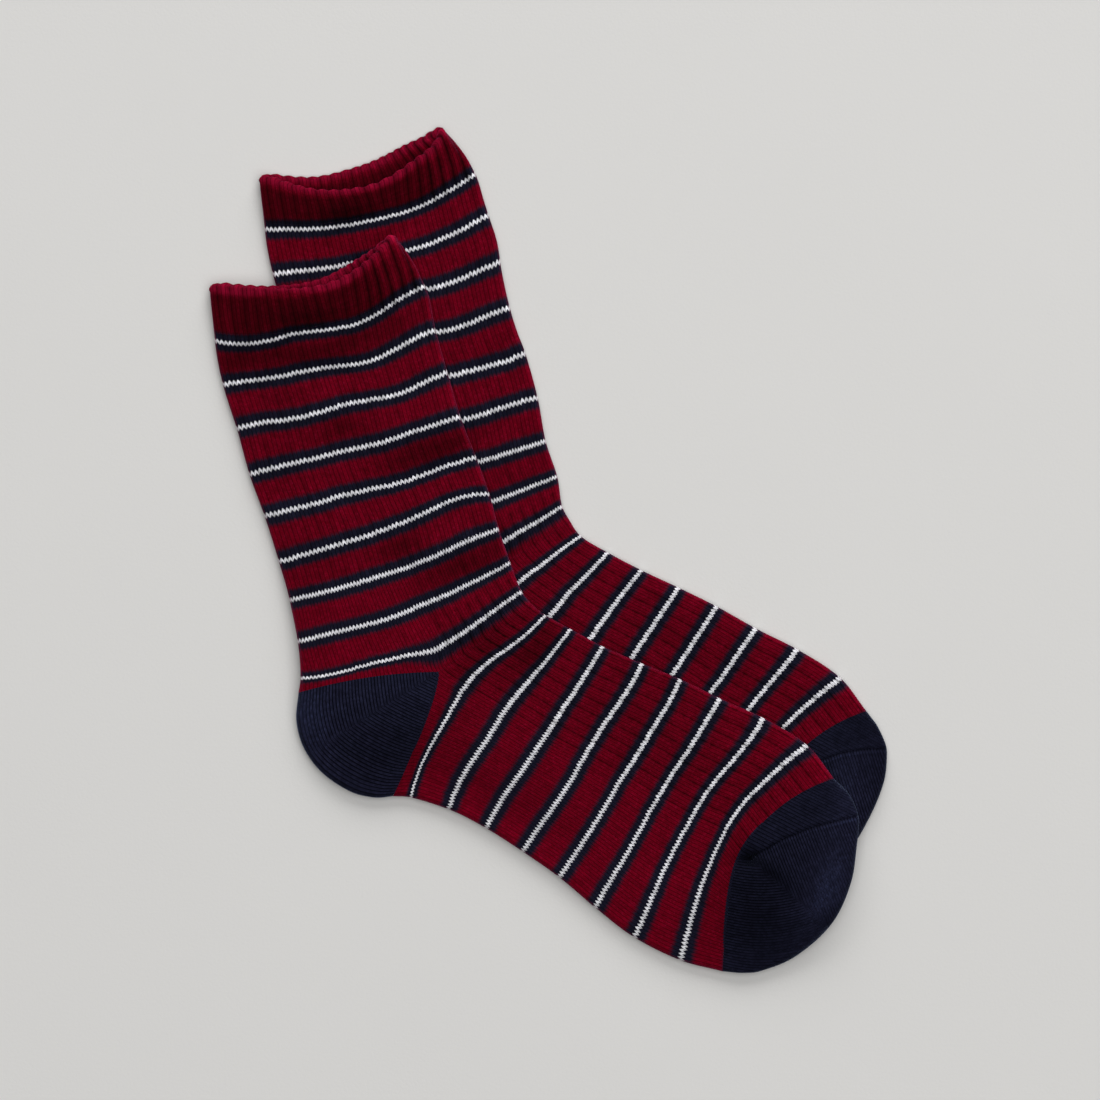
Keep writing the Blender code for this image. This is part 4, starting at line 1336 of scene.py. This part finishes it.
def ramp(tree, value, low, high, start=0.0, end=1.0):
    # a soft step from start to end as the value goes from low to high
    node = tree.nodes.new("ShaderNodeMapRange")
    node.interpolation_type = "SMOOTHSTEP"
    for socket, given in zip(node.inputs, (value, low, high, start, end)):
        feed(tree, socket, given)
    return node.outputs[0]


def mixed(tree, share, first, second, how="MIX"):
    node = tree.nodes.new("ShaderNodeMix")
    node.data_type = "RGBA"
    node.blend_type = how
    feed(tree, node.inputs[0], share)
    feed(tree, node.inputs[6], first)
    feed(tree, node.inputs[7], second)
    return node.outputs[2]


def noise(tree, vector, scale, detail):
    node = tree.nodes.new("ShaderNodeTexNoise")
    feed(tree, node.inputs["Vector"], vector)
    node.inputs["Scale"].default_value = scale
    node.inputs["Detail"].default_value = detail
    return node.outputs["Fac"]


def faceLayer(tree, name):
    node = tree.nodes.new("ShaderNodeUVMap")
    node.uv_map = name
    split = tree.nodes.new("ShaderNodeSeparateXYZ")
    tree.links.new(node.outputs[0], split.inputs[0])
    return split.outputs[0], split.outputs[1]


def combined(tree, x, y, z=0.0):
    node = tree.nodes.new("ShaderNodeCombineXYZ")
    for socket, value in zip(node.inputs, (x, y, z)):
        feed(tree, socket, value)
    return node.outputs[0]


def grain(tree, kind, wale, course):
    acrossScale, alongScale, detail = grains[kind]
    place = combined(tree, times(tree, wale, acrossScale), times(tree, course, alongScale))
    return noise(tree, place, 1.0, detail)


def eachCell(tree, x, y):
    # a value of its own for every whole step of x and of y
    node = tree.nodes.new("ShaderNodeTexWhiteNoise")
    node.noise_dimensions = "2D"
    feed(tree, node.inputs["Vector"], combined(tree, x, y))
    return node.outputs["Value"]


def grey(tree, value):
    return combined(tree, value, value, value)


def setSockets(shader, values):
    for name, value in values.items():
        shader.inputs[name].default_value = value


def bumped(tree, shader, height, distance):
    node = tree.nodes.new("ShaderNodeBump")
    node.inputs["Distance"].default_value = distance
    tree.links.new(height, node.inputs["Height"])
    tree.links.new(node.outputs[0], shader.inputs["Normal"])


def fromStripe(tree, course):
    # courses to the middle of the nearest stripe
    below = calc(tree, "MAXIMUM", course, stripes["noneAbove"])
    repeats = plus(tree, below, stripes["repeat"] * 1.5 - stripes["first"])
    within = calc(tree, "FLOORED_MODULO", repeats, stripes["repeat"])
    return calc(tree, "ABSOLUTE", minus(tree, within, stripes["repeat"] / 2))


def byPlace(tree, course, ribShade, values):
    # one value on the leg, one on the plain sole and one on the ribbed instep
    leg, sole, instep = values
    foot = ramp(tree, ribShade, 0.0, 0.1, sole, instep)
    return ramp(tree, course, *knitting["ribTurn"], leg, foot)


def burgundyYarns(tree, knit):
    # the colour of the striped knit, and its painted shade and light, with the rim's painted
    # highlight and less of both on the white stripes
    wale, course, tooth, fuzz = (knit[key] for key in ("wale", "course", "tooth", "fuzz"))
    row = calc(tree, "FLOOR", calc(tree, "DIVIDE", course, stripes["repeat"]))
    jog = eachCell(tree, calc(tree, "FLOOR", wale), row)
    jogged = scaled(tree, jog, 2 * stripes["whiteJog"], -stripes["whiteJog"])
    nudge = byPlace(tree, course, knit["grooves"], stripes["whiteNudge"])
    whiteCourse = plus(tree, knit["stitchCourse"], plus(tree, jogged, nudge))
    whiteHalf = byPlace(tree, course, knit["grooves"], stripes["whiteHalf"])
    pastWhite = minus(tree, fromStripe(tree, whiteCourse), whiteHalf)
    white = ramp(tree, pastWhite, -stripes["whiteSoft"], stripes["whiteSoft"], 1.0, 0.0)
    mingle = scaled(tree, knit["fibres"], 2 * stripes["navyMingle"], -stripes["navyMingle"])
    edge = scaled(tree, tooth, stripes["navyTooth"], course)
    bandCourse = plus(tree, plus(tree, mingle, jogged), edge)
    band = ramp(tree, course, *knitting["ribTurn"], *stripes["navyHalf"])
    pastBand = minus(tree, fromStripe(tree, bandCourse), band)
    navy = ramp(tree, pastBand, -stripes["navySoft"], stripes["navySoft"], 1.0, 0.0)
    pocket = scaled(tree, tooth, stripes["pocketTooth"], knit["second"])
    pocket = ramp(tree, pocket, -stripes["pocketSoft"], stripes["pocketSoft"])
    rim = ramp(tree, scaled(tree, fuzz, burgundy["rimWander"], course), *burgundy["rim"])
    specks = ramp(tree, grain(tree, "specks", wale, course), *burgundy["specks"])
    base = yarns["red"]
    for share, yarn in (
        (ramp(tree, fuzz, *burgundy["fuzz"]), "redFuzz"),
        (times(tree, rim, burgundy["rimFuzz"]), "redFuzz"),
        (specks, "redFuzz"),
        (navy, "navyBand"),
        (white, "white"),
        (pocket, "navy"),
    ):
        base = mixed(tree, share, base, yarns[yarn])
    # painted highlight on the rim; the white line takes less of the painted shade and light
    tone = plus(tree, knit["tone"], times(tree, rim, cuff["rimHighlight"]))
    return base, times(tree, tone, scaled(tree, white, -burgundy["whiteTone"], 1.0))


def navyYarns(tree, knit):
    toned = scaled(tree, knit["tone"], navyBlue["toneShare"], -navyBlue["fuzzFrom"])
    bloom = scaled(tree, knit["fuzz"], navyBlue["fuzzShare"], toned)
    share = ramp(tree, bloom, *navyBlue["fuzz"])
    return mixed(tree, share, yarns["navy"], yarns["navyFuzz"]), knit["tone"]


def paintedGrooveShade(tree, knit, needle):
    # how much painted shade darkens the purl grooves between the ribs
    fromPurl = calc(tree, "FRACT", calc(tree, "DIVIDE", needle, knitting["ribNeedles"]))
    fromPurl = calc(tree, "ABSOLUTE", minus(tree, fromPurl, 0.5))
    width = ramp(tree, knit["course"], *knitting["ribTurn"], *stitch["grooveWidth"])
    groove = ramp(tree, calc(tree, "DIVIDE", fromPurl, width), 0.0, 1.0, 1.0, 0.0)
    limits = [ramp(tree, knit["course"], *stitch[key]) for key in ("faintest", "deepest")]
    breaks = grain(tree, "breaks", knit["wale"], knit["course"])
    broken = ramp(tree, breaks, *stitch["grooveBreaks"], *limits)
    return times(tree, times(tree, groove, knit["grooves"]), broken)


def knitMaterial(name, look, striped):
    material, tree, shader = newMaterial(name)
    wale, course = faceLayer(tree, "stitches")
    # the second is the depth in the navy or the seam, the fourth the needle or the blur; the tone
    # is painted shade and light, in stops
    grooves, second = faceLayer(tree, "shades")
    tone, fourth = faceLayer(tree, "tones")

    # one stitch is a pair of legs that rise to the middle of its wale
    fromMiddle = fromHalf(tree, calc(tree, "FRACT", wale))
    tall = byPlace(tree, course, grooves, stripes["toothHeight"])
    tooth = times(tree, scaled(tree, fromMiddle, -2.0, 1.0), tall)
    stitchCourse = plus(tree, course, tooth)
    fromLeg = calc(tree, "POWER", fromHalf(tree, fromMiddle), 2.0)
    dip = times(tree, fromLeg, ramp(tree, fromMiddle, *stitch["legDip"]))
    joint = calc(tree, "POWER", fromHalf(tree, calc(tree, "FRACT", stitchCourse)), 2.0)
    joint = times(tree, joint, stitch["jointDip"])
    legs = minus(tree, minus(tree, 1.0, dip), joint)
    fibres, fuzz, streaks, patches = (
        grain(tree, kind, wale, course) for kind in ("fibres", "fuzz", "streaks", "patches")
    )
    knit = dict(wale=wale, course=course, stitchCourse=stitchCourse, tooth=tooth)
    knit.update(grooves=grooves, second=second, tone=tone, fibres=fibres, fuzz=fuzz)
    base, tone = burgundyYarns(tree, knit) if striped else navyYarns(tree, knit)

    # light falls off between the legs, in the grooves and in the linking seam, and yarn is uneven
    between = ramp(tree, fromMiddle, *look["between"])
    if not striped:
        between = scaled(tree, between, minus(tree, 1.0, fourth), 1.0)
    single = eachCell(tree, calc(tree, "FLOOR", wale), calc(tree, "FLOOR", stitchCourse))
    shade = times(tree, ramp(tree, legs, *stitch["shade"]), between)
    shade = times(tree, shade, varied(tree, single, look["uneven"]))
    shade = times(tree, shade, varied(tree, streaks, stitch["streaks"]))
    shade = times(tree, shade, varied(tree, patches, stitch["patches"]))
    shade = times(tree, shade, minus(tree, 1.0, paintedGrooveShade(tree, knit, fourth)))
    # the painted shade and light of each place, in stops
    shade = times(tree, shade, calc(tree, "POWER", 2.0, tone))
    if not striped:
        shade = times(tree, shade, scaled(tree, second, -stitch["seamShade"], 1.0))
    colour = mixed(tree, 1.0, base, grey(tree, shade), "MULTIPLY")
    tree.links.new(colour, shader.inputs["Base Color"])
    height = scaled(tree, fibres, stitch["fibreHeight"], legs)
    bumped(tree, shader, height, stitch["depth"])
    setSockets(shader, {**surface, "Sheen Tint": (*look["tint"], 1.0)})
    return material


stripedKnit = knitMaterial("stripedKnit", burgundy, True)
navyKnit = knitMaterial("navyKnit", navyBlue, False)
print("materials made")

for sockName, sock in socks.items():
    sock["ground"] = layOver(sock["liesOn"])
    cuffPiece = makeCuff(sockName, sock, stripedKnit)
    bodyPiece = makeBody(sockName, sock, stripedKnit)
    heelPiece = makeHeel(sockName, sock, navyKnit)
    toePiece = makeToe(sockName, sock, navyKnit)

# Floor, light and camera, in metres.
studio = {
    "lamps": (
        # place, width, height, power: a wide soft one overhead and a window beyond the rims
        ((0.6, -0.1, 3.6), 4.2, 4.2, 104.0),
        ((0.3, 4.0, 2.2), 5.5, 2.8, 190.0),
    ),
    "sky": 0.05,
    "target": (0.0003, -0.0002, 0.006),
    "height": 3.0,
    "field": 0.418,
    "floorSize": 6.0,
    "floorTop": -0.0001,
    "floorColour": (0.70, 0.692, 0.676),
    "floorCloud": (12.0, 0.02),  # scale and strength
    "floorGrain": (900.0, 0.00005),
    "floorSockets": {"Roughness": 0.9, "Specular IOR Level": 0.1},
}
bpy.ops.object.select_all(action="DESELECT")
bpy.ops.mesh.primitive_plane_add(size=studio["floorSize"], location=(0, 0, studio["floorTop"]))
floor = bpy.context.object
floor.name = "floor"
paper, paperTree, paperShader = newMaterial("palePaper")
coords = paperTree.nodes.new("ShaderNodeTexCoord")
grainScale, grainDepth = studio["floorGrain"]
cloudScale, cloudSpread = studio["floorCloud"]
paperGrain = noise(paperTree, coords.outputs["Object"], grainScale, 3.0)
paperCloud = noise(paperTree, coords.outputs["Object"], cloudScale, 2.0)
paperShade = grey(paperTree, varied(paperTree, paperCloud, cloudSpread))
paperColour = mixed(paperTree, 1.0, studio["floorColour"], paperShade, "MULTIPLY")
paperTree.links.new(paperColour, paperShader.inputs["Base Color"])
bumped(paperTree, paperShader, paperGrain, grainDepth)
setSockets(paperShader, studio["floorSockets"])
floor.data.materials.append(paper)

for place, width, height, power in studio["lamps"]:
    bpy.ops.object.light_add(type="AREA", location=place)
    lamp = bpy.context.object
    lamp.data.shape = "RECTANGLE"
    lamp.data.size = width
    lamp.data.size_y = height
    lamp.data.energy = power
    lamp.rotation_euler = Vector(place).to_track_quat("Z", "Y").to_euler()

sky = bpy.data.worlds.new("softStudio")
sky.use_nodes = True
sky.node_tree.nodes["Background"].inputs["Color"].default_value = (1, 1, 1, 1)
sky.node_tree.nodes["Background"].inputs["Strength"].default_value = studio["sky"]
bpy.context.scene.world = sky
bpy.context.scene.view_settings.view_transform = "Standard"

targetX, targetY, targetZ = studio["target"]
bpy.ops.object.camera_add(location=(targetX, targetY, studio["height"]), rotation=(0, 0, 0))
camera = bpy.context.object
camera.data.sensor_width = 36.0
camera.data.lens = camera.data.sensor_width * (studio["height"] - targetZ) / studio["field"]
bpy.context.scene.camera = camera
print("studio ready")
